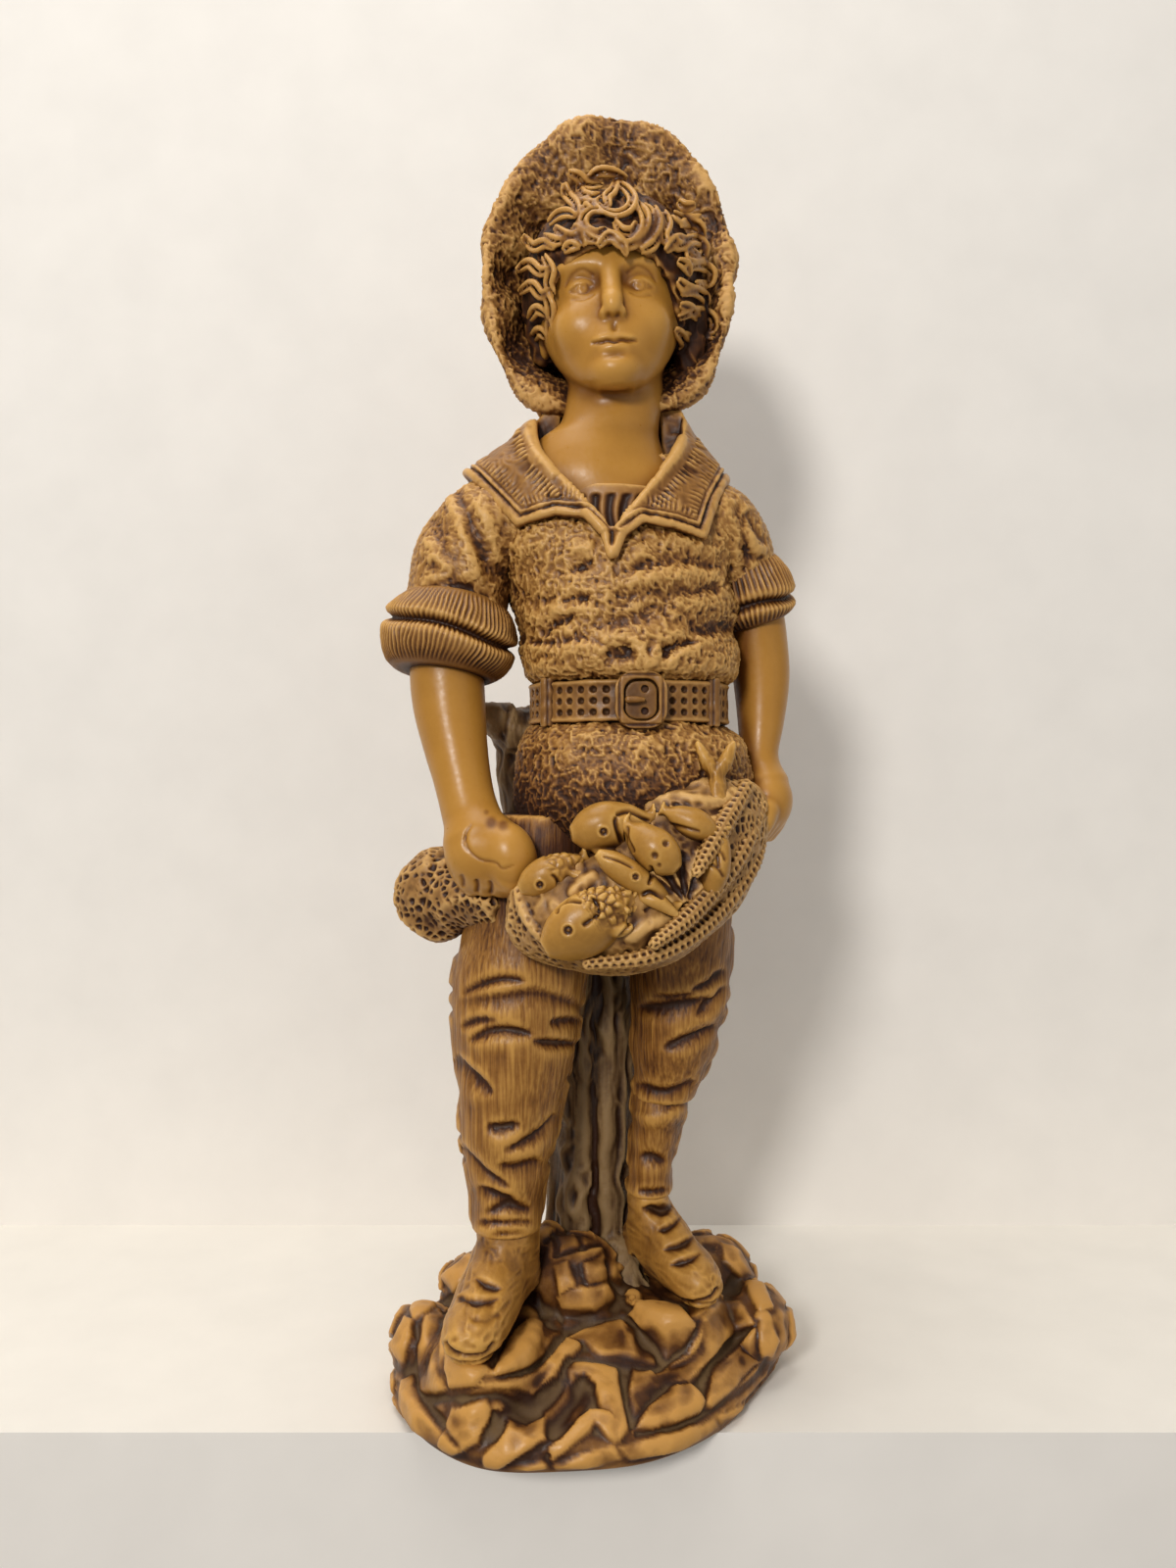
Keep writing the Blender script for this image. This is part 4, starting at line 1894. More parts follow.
@dataclass(frozen=True)
class Sleeves:
    """The sleeves and the cuffs that are rolled up twice."""

    RIGHT: tuple = (
        (HEAD_X - 23, 1, SHOULDER - 8, 11.5, 13.6), (HEAD_X - 30.5, 1, SHOULDER - 8, 13.6, 14.6),
        (HEAD_X - 36.8, 0, SHOULDER - 15, 13.4, 14.2), (HEAD_X - 39.4, -1.5, SHOULDER - 23, 13.2, 13.6),
        (HEAD_X - 40.4, -2.4, SHOULDER - 30, 12.6, 12.6),
    )
    LEFT: tuple = (
        (HEAD_X + 17, 2, SHOULDER - 8, 10.5, 13.2), (HEAD_X + 24.5, 2.5, SHOULDER - 7.5, 12, 13.6),
        (HEAD_X + 29.5, 4, SHOULDER - 12, 11.4, 12.6), (HEAD_X + 32.8, 5.8, SHOULDER - 19.5, 10, 10.8),
    )
    RIGHT_CUFF: tuple = (
        (HEAD_X - 43.5, -4.5, SHOULDER - 45.5, 12.8, 12), (HEAD_X - 43, -4, SHOULDER - 42, 15.8, 14.6),
        (HEAD_X - 42, -3.2, SHOULDER - 36, 16.6, 15.4), (HEAD_X - 41, -2.6, SHOULDER - 31, 16, 15),
        (HEAD_X - 40.2, -2, SHOULDER - 26, 12.6, 12.2),
    )
    LEFT_CUFF: tuple = (
        (HEAD_X + 38, 7.5, SHOULDER - 31, 8.4, 9), (HEAD_X + 37, 7, SHOULDER - 28, 11, 11.2),
        (HEAD_X + 34.6, 6.4, SHOULDER - 21.5, 12.2, 12), (HEAD_X + 32.4, 5.8, SHOULDER - 15.5, 10, 10.4),
    )

    def _clay(self, stations: Sequence[Sequence[float]], grain: float) -> Clay:
        """Sets up a block round a limb.

        Args:
            stations: The limb's stations.
            grain: The grid's pitch in mm.

        Returns:
            The block.
        """
        given = np.asarray(stations)
        wide = given[:, 3:5].max() + 3
        return Clay(given[:, :3].min(0) - wide, given[:, :3].max(0) + wide, grain)

    def _sleeve(self, stations: Sequence[Sequence[float]], seed: int) -> Surface:
        """Makes a sleeve.

        Args:
            stations: The limb's stations.
            seed: Which noise.

        Returns:
            The surface.
        """
        clay = self._clay(stations, 0.5)
        clay.add(clay.of(limb(stations, sides=72, rings=60)))
        clay.soften(3)
        surface = clay.skin()
        share, angle, _ = around(surface.points, stations)
        twist = np.stack([2.5 * np.cos(angle), 2.5 * np.sin(angle), 9 * share + 0.9 * angle], axis=1)
        surface.push(1.3 * (ridges(twist, 2.6, seed) - 0.5) * (1 - 0.5 * surface.facing()))
        surface.push(surface.carve(SLEEVE_FOLDS))
        surface.relax(2)
        surface.push(wool(surface, 1.5, 0.34, seed + 1))
        return surface

    def _cuff(self, stations: Sequence[Sequence[float]], rolls: float, ribs: int, seed: int) -> Surface:
        """Makes a rolled cuff.

        Args:
            stations: The limb's stations.
            rolls: Where along it the crease between its rolls runs.
            ribs: Ribs round it.
            seed: Which noise.

        Returns:
            The surface.
        """
        clay = self._clay(stations, 0.34)
        clay.add(clay.of(limb(stations, sides=96, rings=60)))
        clay.soften(5)
        surface = clay.skin()
        share, angle, _ = around(surface.points, stations)
        slant = rolls + 0.1 * np.sin(angle + 0.6) + 0.03 * np.sin(3 * angle)
        crease = np.exp(-(((share - slant) / 0.055) ** 2))
        puff = np.exp(-(((share - slant) / 0.22) ** 2))
        surface.push(0.9 * puff - 2.6 * crease)
        surface.relax(2)
        wobble = 0.16 * share + 0.07 * cloud(surface.points, 4, seed)
        lines = np.sin(ribs * (angle + wobble)) * (0.5 + cloud(surface.points, 3, seed + 1))
        worn = np.stack([0.3 * ribs * angle, 0.35 * surface.points[:, 2], angle], axis=1)
        lines += 0.7 * (cloud(worn, 1, seed) - 0.5)
        edge = ease(share, 0.02, 0.14) * (1 - ease(share, 0.86, 0.99))
        surface.push(0.26 * lines * edge * (1 - 0.7 * crease))
        surface.stain = 0.7 * (1 - ease(share, 0.05, 0.4))
        return surface

    def make(self, shop: Shop) -> None:
        """Makes the sleeves and the cuffs.

        Args:
            shop: Where pieces are made.
        """
        shop.piece("sleeve_right", self._sleeve(self.RIGHT, 71), BLOUSE, "right_sleeve")
        shop.piece("sleeve_left", self._sleeve(self.LEFT, 73), BLOUSE, "left_sleeve")
        shop.piece("cuff_right", self._cuff(self.RIGHT_CUFF, 0.56, 76, 75), COLLAR, "right_cuff")
        shop.piece("cuff_left", self._cuff(self.LEFT_CUFF, 0.48, 52, 77), COLLAR, "left_cuff")


def edging(x: Array, z: Array, outline: Sequence[Sequence[float]]) -> tuple[Array, Array]:
    """Finds how places lie by an outline.

    Args:
        x: Places across in mm.
        z: Heights in mm.
        outline: The outline's corners.

    Returns:
        The distance to the outline and the way along it, both in mm.
    """
    best = np.full(len(x), 1e9)
    along = np.zeros(len(x))
    done = 0.0
    for (ax, az), (bx, bz) in zip(outline, list(outline[1:]) + [outline[0]]):
        length = math.hypot(bx - ax, bz - az)
        ex, ez = (bx - ax) / length, (bz - az) / length
        t = np.clip((x - ax) * ex + (z - az) * ez, 0, length)
        far = np.hypot(x - ax - t * ex, z - az - t * ez)
        nearer = far < best
        along = np.where(nearer, done + t, along)
        best = np.where(nearer, far, best)
        done += length
    return best, along


@dataclass(frozen=True)
class Collar:
    """The sailor collar: two lapels in front and a square flap behind, with a corded border."""

    GRAIN: float = 0.38
    OUTER: tuple = (
        (HEAD_X + 2, -0.2, SHOULDER - 24, 31, 21), (HEAD_X + 1, 0.3, SHOULDER - 15, 33.6, 20.5),
        (HEAD_X - 0.5, 0.5, SHOULDER - 8, 35, 19.2), (HEAD_X - 3, 0.8, SHOULDER - 1, 36, 17),
        (HEAD_X - 5, 1, SHOULDER + 6, 34.6, 14.6), (HEAD_X - 3.5, 1.4, SHOULDER + 11, 29.5, 13),
        (HEAD_X - 2, 2, SHOULDER + 16, 24, 12), (HEAD_X - 0.5, 2.6, SHOULDER + 21, 19.6, 11.4),
        (HEAD_X + 0.3, 3.4, SHOULDER + 26, 17, 11),
    )
    NECK: tuple = (
        (HEAD_X - 0.2, -2, SHOULDER - 12, 14.4, 15), (HEAD_X - 0.6, 0, SHOULDER + 8, 14.0, 14.2),
        (HEAD_X - 0.8, 4, SHOULDER + 27, 12.6, 12.8),
    )
    LOWER_EDGE: tuple = (
        (HEAD_X - 40.5, SHOULDER + 8.5), (HEAD_X - 24, SHOULDER - 10), (HEAD_X - 14.4, SHOULDER - 7.8),
        (HEAD_X - 7.4, SHOULDER - 9), (HEAD_X - 3.4, SHOULDER - 13), (HEAD_X - 1.6, SHOULDER - 19),
        (HEAD_X + 0.6, SHOULDER - 19), (HEAD_X + 2.6, SHOULDER - 13.6), (HEAD_X + 7, SHOULDER - 10.2),
        (HEAD_X + 14.7, SHOULDER - 11.4), (HEAD_X + 22.4, SHOULDER - 13.6), (HEAD_X + 26, SHOULDER - 3),
        (HEAD_X + 31, SHOULDER + 6.5),
    )
    UPPER_EDGE: tuple = (
        (HEAD_X + 22, SHOULDER + 17), (HEAD_X + 18.5, SHOULDER + 25), (HEAD_X + 17, SHOULDER + 13),
        (HEAD_X + 14.4, SHOULDER + 7.6), (HEAD_X + 8.7, SHOULDER - 0.2), (HEAD_X + 3.7, SHOULDER - 6.4),
        (HEAD_X, SHOULDER - 11.5), (HEAD_X - 1.2, SHOULDER - 11.5), (HEAD_X - 5.4, SHOULDER - 6.2),
        (HEAD_X - 11, SHOULDER + 0.3), (HEAD_X - 17.6, SHOULDER + 7.4), (HEAD_X - 19.4, SHOULDER + 14.3),
        (HEAD_X - 20, SHOULDER + 25), (HEAD_X - 27, SHOULDER + 19),
    )
    FLAP: tuple = (
        (HEAD_X - 30, SHOULDER - 18), (HEAD_X + 29, SHOULDER - 18), (HEAD_X + 30, SHOULDER + 8),
        (HEAD_X + 18, SHOULDER + 24), (HEAD_X - 18, SHOULDER + 24), (HEAD_X - 36, SHOULDER + 8),
    )
    OUTER_EDGE: tuple = LOWER_EDGE + ((HEAD_X + 60, SHOULDER + 60), (HEAD_X - 80, SHOULDER + 60))
    ROLL_EDGE: tuple = (
        (HEAD_X + 18.5, SHOULDER + 20), (HEAD_X + 17, SHOULDER + 13), (HEAD_X + 14.4, SHOULDER + 7.6),
        (HEAD_X + 8.7, SHOULDER - 0.2), (HEAD_X + 3.7, SHOULDER - 6.4), (HEAD_X - 0.6, SHOULDER - 12.5),
        (HEAD_X - 5.4, SHOULDER - 6.2), (HEAD_X - 11, SHOULDER + 0.3), (HEAD_X - 17.6, SHOULDER + 7.4),
        (HEAD_X - 19.4, SHOULDER + 14.3), (HEAD_X - 20, SHOULDER + 20), (HEAD_X, SHOULDER + 60),
    )
    NECK_EDGE: tuple[Stroke, ...] = strokes(
        on_chest,
        ((2.6, 0.9, 0, 2), 340, 20, 322, 100, 350, 190, 430, 270),
        ((2.4, 0.8, 0, 2), 856, 110, 846, 180, 800, 240),
        ((1.2, 0.6, 0, 8), 350, 60, 340, 110, 366, 180, 470, 290, 552, 380, 600, 450),
        ((1.2, 0.6, 0, 8), 876, 120, 846, 190, 766, 290, 696, 372, 646, 446),
        ((0.9, 0.5, 0, 4), 602, 440, 622, 540),
        ((0.9, 0.5, 0, 4), 660, 440, 628, 540),
        ((0.6, -0.7, 0, 2), 628, 440, 626, 500),
    )

    def make(self, shop: Shop) -> None:
        """Makes the collar.

        Args:
            shop: Where pieces are made.
        """
        thicker = [(*row[:4], row[4] + COLLAR_THICKNESS) for row in self.OUTER]
        clay = Clay((-37, -27, SHOULDER - 25), (44, 28, SHOULDER + 28), self.GRAIN)
        clay.add(clay.of(limb(thicker, sides=96, rings=90, level=True)))
        clay.cut(clay.of(limb(Blouse.STATIONS, sides=96, rings=90, level=True)) + 0.5)
        clay.cut(clay.of(limb(self.NECK, sides=72, level=True)))
        front = np.maximum(clay.outline(self.LOWER_EDGE + self.UPPER_EDGE) + 0 * clay.y, clay.y - 2)
        back = np.maximum(clay.outline(self.FLAP) + 0 * clay.y, 2 - clay.y)
        clay.keep(np.minimum(front, back))
        clay.soften(2)
        surface = clay.skin()
        p = surface.points
        ahead, ahead_way = edging(p[:, 0], p[:, 2], self.OUTER_EDGE)
        behind, behind_way = edging(p[:, 0], p[:, 2], self.FLAP[:4] + self.FLAP[5:])
        before = p[:, 1] < 2
        inset = np.where(before, ahead, np.where(p[:, 2] > SHOULDER + 6, 20, behind))
        way = np.where(before, ahead_way, behind_way)
        cord = 0.25 * np.exp(-(((inset - 1.0) / 0.8) ** 2)) - 0.7 * np.exp(-(((inset - 2.25) / 0.32) ** 2))
        cord += 0.25 * np.exp(-(((inset - 3.0) / 0.4) ** 2)) - 0.3 * np.exp(-(((inset - 3.7) / 0.3) ** 2))
        uneven = cloud(p, 2.2, 83)
        lines = np.sin(2 * math.pi * (way + 0.5 * uneven) / 1.15) * ease(inset, 3.9, 4.6)
        lines *= 1 - ease(inset + 4 * uneven, 6.5, 10.5)
        roll, roll_way = edging(p[:, 0], p[:, 2], self.ROLL_EDGE)
        reach = roll + 3.5 * cloud(np.stack([roll_way, roll_way, roll_way], 1), 1.1, 84)
        fringe = np.sin(2 * math.pi * (roll_way + 0.4 * uneven) / 1.25) * before
        fringe *= ease(roll, 3.2, 4.0) * (1 - ease(reach, 6.5, 9.5)) * ease(inset, 3.9, 4.6)
        outward = np.abs(surface.normals()[:, 2]) < 0.93
        tip = ease(np.hypot(p[:, 0] - HEAD_X + 0.5, p[:, 2] - SHOULDER + 16), 2.5, 6)
        surface.push((cord * tip + 0.22 * lines + 0.36 * fringe) * outward + surface.carve(self.NECK_EDGE))
        lumps = 0.4 * (cloud(surface.points, 3, 81) - 0.5)
        surface.push(lumps + 0.2 * (ridges(surface.points, 1.6, 82) - 0.6))
        shop.piece("sailor_collar", surface, COLLAR, "collar")


@dataclass(frozen=True)
class Belt:
    """The wide punched belt with its buckle."""

    FRONT: float = -WAIST_HALF_DEPTH - BELT_THICKNESS
    HALF_WIDTH: float = 6.3
    HALF_HEIGHT: float = 7.1
    BAR: float = 2.1
    COLUMNS: float = 2.9
    ROWS: float = 2.75

    def _strap(self) -> Surface:
        """Makes the strap with its punched holes.

        Returns:
            The surface.
        """
        wide = WAIST_HALF_WIDTH + BELT_THICKNESS
        deep = WAIST_HALF_DEPTH + BELT_THICKNESS
        clay = Clay((BODY_X - wide - 1, -deep - 1, WAIST - 6), (BODY_X + wide + 1, deep + 1, WAIST + 6), 0.33)
        low, high = WAIST - 0.5 * BELT_WIDTH, WAIST + 0.5 * BELT_WIDTH
        outer = [(BODY_X, 0, low, wide, deep), (BODY_X, 0, high, wide, deep)]
        clay.add(clay.of(limb(outer, sides=120, rings=4)))
        inner = [(BODY_X, 0, low - 2, WAIST_HALF_WIDTH, WAIST_HALF_DEPTH),
                 (BODY_X, 0, high + 2, WAIST_HALF_WIDTH, WAIST_HALF_DEPTH)]
        clay.cut(clay.of(limb(inner, sides=120, rings=4)))
        clay.soften(2)
        surface = clay.skin()
        p = surface.points
        rise = p[:, 2] - WAIST
        out = ((p[:, 0] - BODY_X) / wide) ** 2 + (p[:, 1] / deep) ** 2
        face = ease(out, 0.86, 0.94)
        angle = np.arctan2(p[:, 1] / deep, (p[:, 0] - BODY_X) / wide)
        arc = angle * 0.5 * (wide + deep)
        column = (arc / self.COLUMNS - np.round(arc / self.COLUMNS)) * self.COLUMNS
        row = (rise / self.ROWS - np.clip(np.round(rise / self.ROWS), -1, 1)) * self.ROWS
        hole = 1 - ease(np.hypot(column, row), 0.4, 0.9)
        clear = ease(np.hypot(p[:, 0] - BUCKLE[0], 0.6 * (p[:, 1] + deep)), 6, 8)
        edge = np.exp(-(((np.abs(rise) - 4.5) / 0.5) ** 2))
        surface.push(face * (0.3 * edge - 1.3 * hole * clear + 0.4 * (cloud(p, 3, 91) - 0.5)))
        surface.film = 0.5 * hole * clear
        return surface

    def _rounded(self, clay: Clay, half_width: float, half_height: float, radius: float) -> Array:
        """Distances to a rounded rectangle round the buckle's middle, the same at every y.

        Args:
            clay: The block.
            half_width: Its half width in mm.
            half_height: Its half height in mm.
            radius: Its corners' radius in mm.

        Returns:
            The distances over the block.
        """
        x = np.maximum(np.abs(clay.x - BUCKLE[0]) - half_width + radius, 0)
        z = np.maximum(np.abs(clay.z - BUCKLE[1]) - half_height + radius, 0)
        inward = np.minimum(np.maximum(np.abs(clay.x - BUCKLE[0]) - half_width + radius,
                                       np.abs(clay.z - BUCKLE[1]) - half_height + radius), 0)
        return np.sqrt(x * x + z * z) + inward - radius + 0 * clay.y

    def _frame(self) -> Surface:
        """Makes the buckle's frame.

        Returns:
            The surface.
        """
        low = (BUCKLE[0] - 8, self.FRONT - 4, BUCKLE[1] - 9)
        clay = Clay(low, (BUCKLE[0] + 8, self.FRONT + 2, BUCKLE[1] + 9), 0.25)
        ring = np.maximum(self._rounded(clay, self.HALF_WIDTH, self.HALF_HEIGHT, 4.8),
                          -self._rounded(clay, self.HALF_WIDTH - self.BAR, self.HALF_HEIGHT - self.BAR, 3.2))
        clay.add(np.maximum(ring, np.maximum(self.FRONT - 2.6 - clay.y, clay.y - self.FRONT - 1)))
        clay.soften(3)
        surface = clay.skin()
        p = surface.points
        x = np.abs(p[:, 0] - BUCKLE[0]) - self.HALF_WIDTH
        z = np.abs(p[:, 2] - BUCKLE[1]) - self.HALF_HEIGHT
        inset = -np.maximum(x, z)
        surface.push(-0.4 * np.exp(-(((inset - 1.05) / 0.3) ** 2)) * surface.facing())
        surface.push(0.3 * (cloud(surface.points, 2.2, 92) - 0.5))
        return surface

    def _tip(self) -> Surface:
        """Makes the strap's end inside the buckle.

        Returns:
            The surface.
        """
        half, tall = self.HALF_WIDTH - self.BAR - 0.3, self.HALF_HEIGHT - self.BAR - 0.3
        low = (BUCKLE[0] - 6, self.FRONT - 2, BUCKLE[1] - 7)
        clay = Clay(low, (BUCKLE[0] + 6, self.FRONT + 2, BUCKLE[1] + 7), 0.22)
        plate = self._rounded(clay, half, tall, 2.8)
        clay.add(np.maximum(plate, np.maximum(self.FRONT - 0.9 - clay.y, clay.y - self.FRONT - 1.2)))
        for rise in (2.7, -2.7):
            place = (BUCKLE[0] + 0.9, self.FRONT, BUCKLE[1] + rise)
            clay.cut(clay.ball(place, (0.85, 1.5, 0.85)), 0.3)
        clay.soften(2)
        return clay.skin()

    def _prong(self) -> Surface:
        """Makes the buckle's prong.

        Returns:
            The surface.
        """
        y = self.FRONT - 0.9 - 0.3 - 0.9
        start = BUCKLE[0] - self.HALF_WIDTH + self.BAR + 0.3
        clay = Clay((start - 2, y - 2, BUCKLE[1] - 2), (BUCKLE[0] + 3, y + 2, BUCKLE[1] + 2), 0.15)
        clay.rod([(start + 0.8, y, BUCKLE[1], 0.85), (start + 2.6, y, BUCKLE[1], 0.82),
                  (BUCKLE[0] + 0.4, y + 0.1, BUCKLE[1], 0.6)])
        return clay.skin()

    def _keeper(self, x: float, seed: int) -> Surface:
        """Makes a keeper.

        Args:
            x: Where it sits in mm.
            seed: Which noise.

        Returns:
            The surface.
        """
        y = self.FRONT * math.sqrt(1 - ((x - BODY_X) / (WAIST_HALF_WIDTH + BELT_THICKNESS)) ** 2)
        rows = [(x, y, WAIST - 6.2, 1.9, 1.4), (x, y, WAIST + 6.2, 1.9, 1.4)]
        clay = Clay((x - 3, y - 3, WAIST - 7), (x + 3, y + 3, WAIST + 7), 0.25)
        clay.add(clay.of(limb(rows, sides=40, rings=6)))
        clay.soften(3)
        surface = clay.skin()
        p = surface.points
        surface.push(0.3 * (cloud(p, 1.8, seed) - 0.5) - 0.3 * np.exp(-(((p[:, 0] - x) / 0.35) ** 2)))
        return surface

    def make(self, shop: Shop) -> None:
        """Makes the belt's pieces.

        Args:
            shop: Where pieces are made.
        """
        shop.piece("punched_strap", self._strap(), BELT, "belt")
        shop.piece("buckle_ring", self._frame(), BELT, "buckle_frame")
        shop.piece("strap_tip", self._tip(), BELT, "belt_tip")
        shop.piece("prong", self._prong(), BELT, "buckle_prong")
        shop.piece("keeper_right", self._keeper(BODY_X - 20.5, 93), BELT, "right_belt_keeper")
        shop.piece("keeper_left", self._keeper(BODY_X + 20.5, 94), BELT, "left_belt_keeper")


on_net = NET_PATCH.run


@dataclass(frozen=True)
class Arms:
    """The bare forearms and the hands that hold the net."""

    GRAIN: float = 0.42
    RIGHT: tuple = (
        (HEAD_X - 40.4, -2, SHOULDER - 24, 8, 8), (HEAD_X - 42, -2.5, SHOULDER - 31, 8.6, 8.6),
        (HEAD_X - 42.4, -4, SHOULDER - 44, 9.4, 9.4), (HEAD_X - 41.6, -5.5, SHOULDER - 53, 9.2, 9.2),
        (HEAD_X - 39.4, -8.5, GRASP + 19, 7.9, 8.2), (HEAD_X - 36.6, -12, GRASP + 7, 7, 7.4),
        (HEAD_X - 33.5, -16, GRASP - 2, 7.6, 7),
    )
    LEFT: tuple = (
        (HEAD_X + 32.8, 5.8, SHOULDER - 15, 6.4, 6.8), (HEAD_X + 37, 6.5, SHOULDER - 25, 7, 7.4),
        (HEAD_X + 38.6, 7.5, SHOULDER - 36, 7.6, 8), (HEAD_X + 39.4, 7.5, SHOULDER - 46, 7.4, 7.8),
        (HEAD_X + 39, 6, GRASP + 27, 6, 6.8), (HEAD_X + 38.2, 3.5, GRASP + 18, 5, 5.8),
        (HEAD_X + 39, 1, GRASP + 11, 5.6, 6.4),
    )
    FIST_LINES: tuple[Stroke, ...] = strokes(
        on_net,
        ((0.34, -0.34), 134, 352, 112, 392, 124, 440, 160, 470, 212, 482, 232, 500, 272, 488),
        ((0.3, -0.24), 112, 392, 104, 420, 120, 446),
        ((0.5, -0.6), 146, 536, 152, 556, 150, 580),
        ((0.5, -0.6), 190, 540, 196, 560, 194, 584),
        ((0.5, -0.5), 96, 520, 104, 540, 104, 562),
    )
    FIST_SPOTS: tuple = (
        (*on_net(196, 350)[0], 1.3, 1.0), (*on_net(236, 360)[0], 1.2, 1.0), (*on_net(180, 316)[0], 0.6, 0.6),
    )

    def _fingers(self, clay: Clay, knuckles: Sequence[Sequence[float]], tips: Sequence[Sequence[float]],
                 blend: float = 0.9) -> None:
        """Adds four curled fingers.

        Args:
            clay: The block.
            knuckles: Where they start in mm.
            tips: Where they end in mm.
            blend: Fillet between them in mm.
        """
        for knuckle, tip in zip(knuckles, tips):
            middle = [0.5 * (a + b) for a, b in zip(knuckle, tip)]
            middle[1] -= 1.4
            form = clay.field.copy()
            clay.field[:] = clay.reach
            clay.rod([(*knuckle, 3.2), (*middle, 2.9), (*tip, 2.3)], smooth=5)
            clay.field = blend_min(form, clay.field, blend)

    def _right(self) -> Surface:
        """Makes the right forearm and its fist.

        Returns:
            The surface.
        """
        clay = Clay((-47, -32, GRASP - 24), (-12, 9, SHOULDER - 20), self.GRAIN)
        clay.add(clay.of(limb(self.RIGHT)))
        clay.add(clay.ball((HEAD_X - 32.3, -18, GRASP - 5.5), (9.2, 7.2, 9.2), turning(25, "y")), 3)
        knuckles = [(HEAD_X - 37.5 + 3.9 * n, -15 - 1.5 * n, GRASP - 9) for n in range(4)]
        tips = [(x + 2.5, y - 1, z - 5.5) for x, y, z in knuckles]
        self._fingers(clay, knuckles, tips, 2.2)
        clay.add(clay.ball((HEAD_X - 25, -21.5, GRASP - 7), (5.4, 5.4, 7.4), turning(-14, "y")), 5)
        surface = clay.skin()
        surface.relax(2)
        surface.push(surface.carve(self.FIST_LINES))
        surface.push(0.35 * (cloud(surface.points, 9, 101) - 0.5))
        surface.stain = surface.dots(self.FIST_SPOTS, 0.6) - 0.6 * surface.carve(self.FIST_LINES)
        return surface

    def _left(self) -> Surface:
        """Makes the left forearm and its hand.

        Returns:
            The surface.
        """
        clay = Clay((HEAD_X + 24, -18, GRASP - 6), (HEAD_X + 52, 17, SHOULDER - 12), self.GRAIN)
        clay.add(clay.of(limb(self.LEFT)))
        clay.add(clay.ball((HEAD_X + 39.6, -1, GRASP + 6.5), (6.4, 7.8, 8)), 3)
        knuckles = [(HEAD_X + 42.8 - 1.5 * n, 2.5 - 3.4 * n, GRASP + 4) for n in range(4)]
        tips = [(x - 2.5, y - 0.5, z - 6) for x, y, z in knuckles]
        self._fingers(clay, knuckles, tips)
        surface = clay.skin()
        surface.relax(2)
        surface.push(0.35 * (cloud(surface.points, 9, 102) - 0.5))
        return surface

    def make(self, shop: Shop) -> None:
        """Makes both arms.

        Args:
            shop: Where pieces are made.
        """
        shop.piece("arm_right", self._right(), SKIN, "right_arm")
        shop.piece("arm_left", self._left(), SKIN, "left_arm")


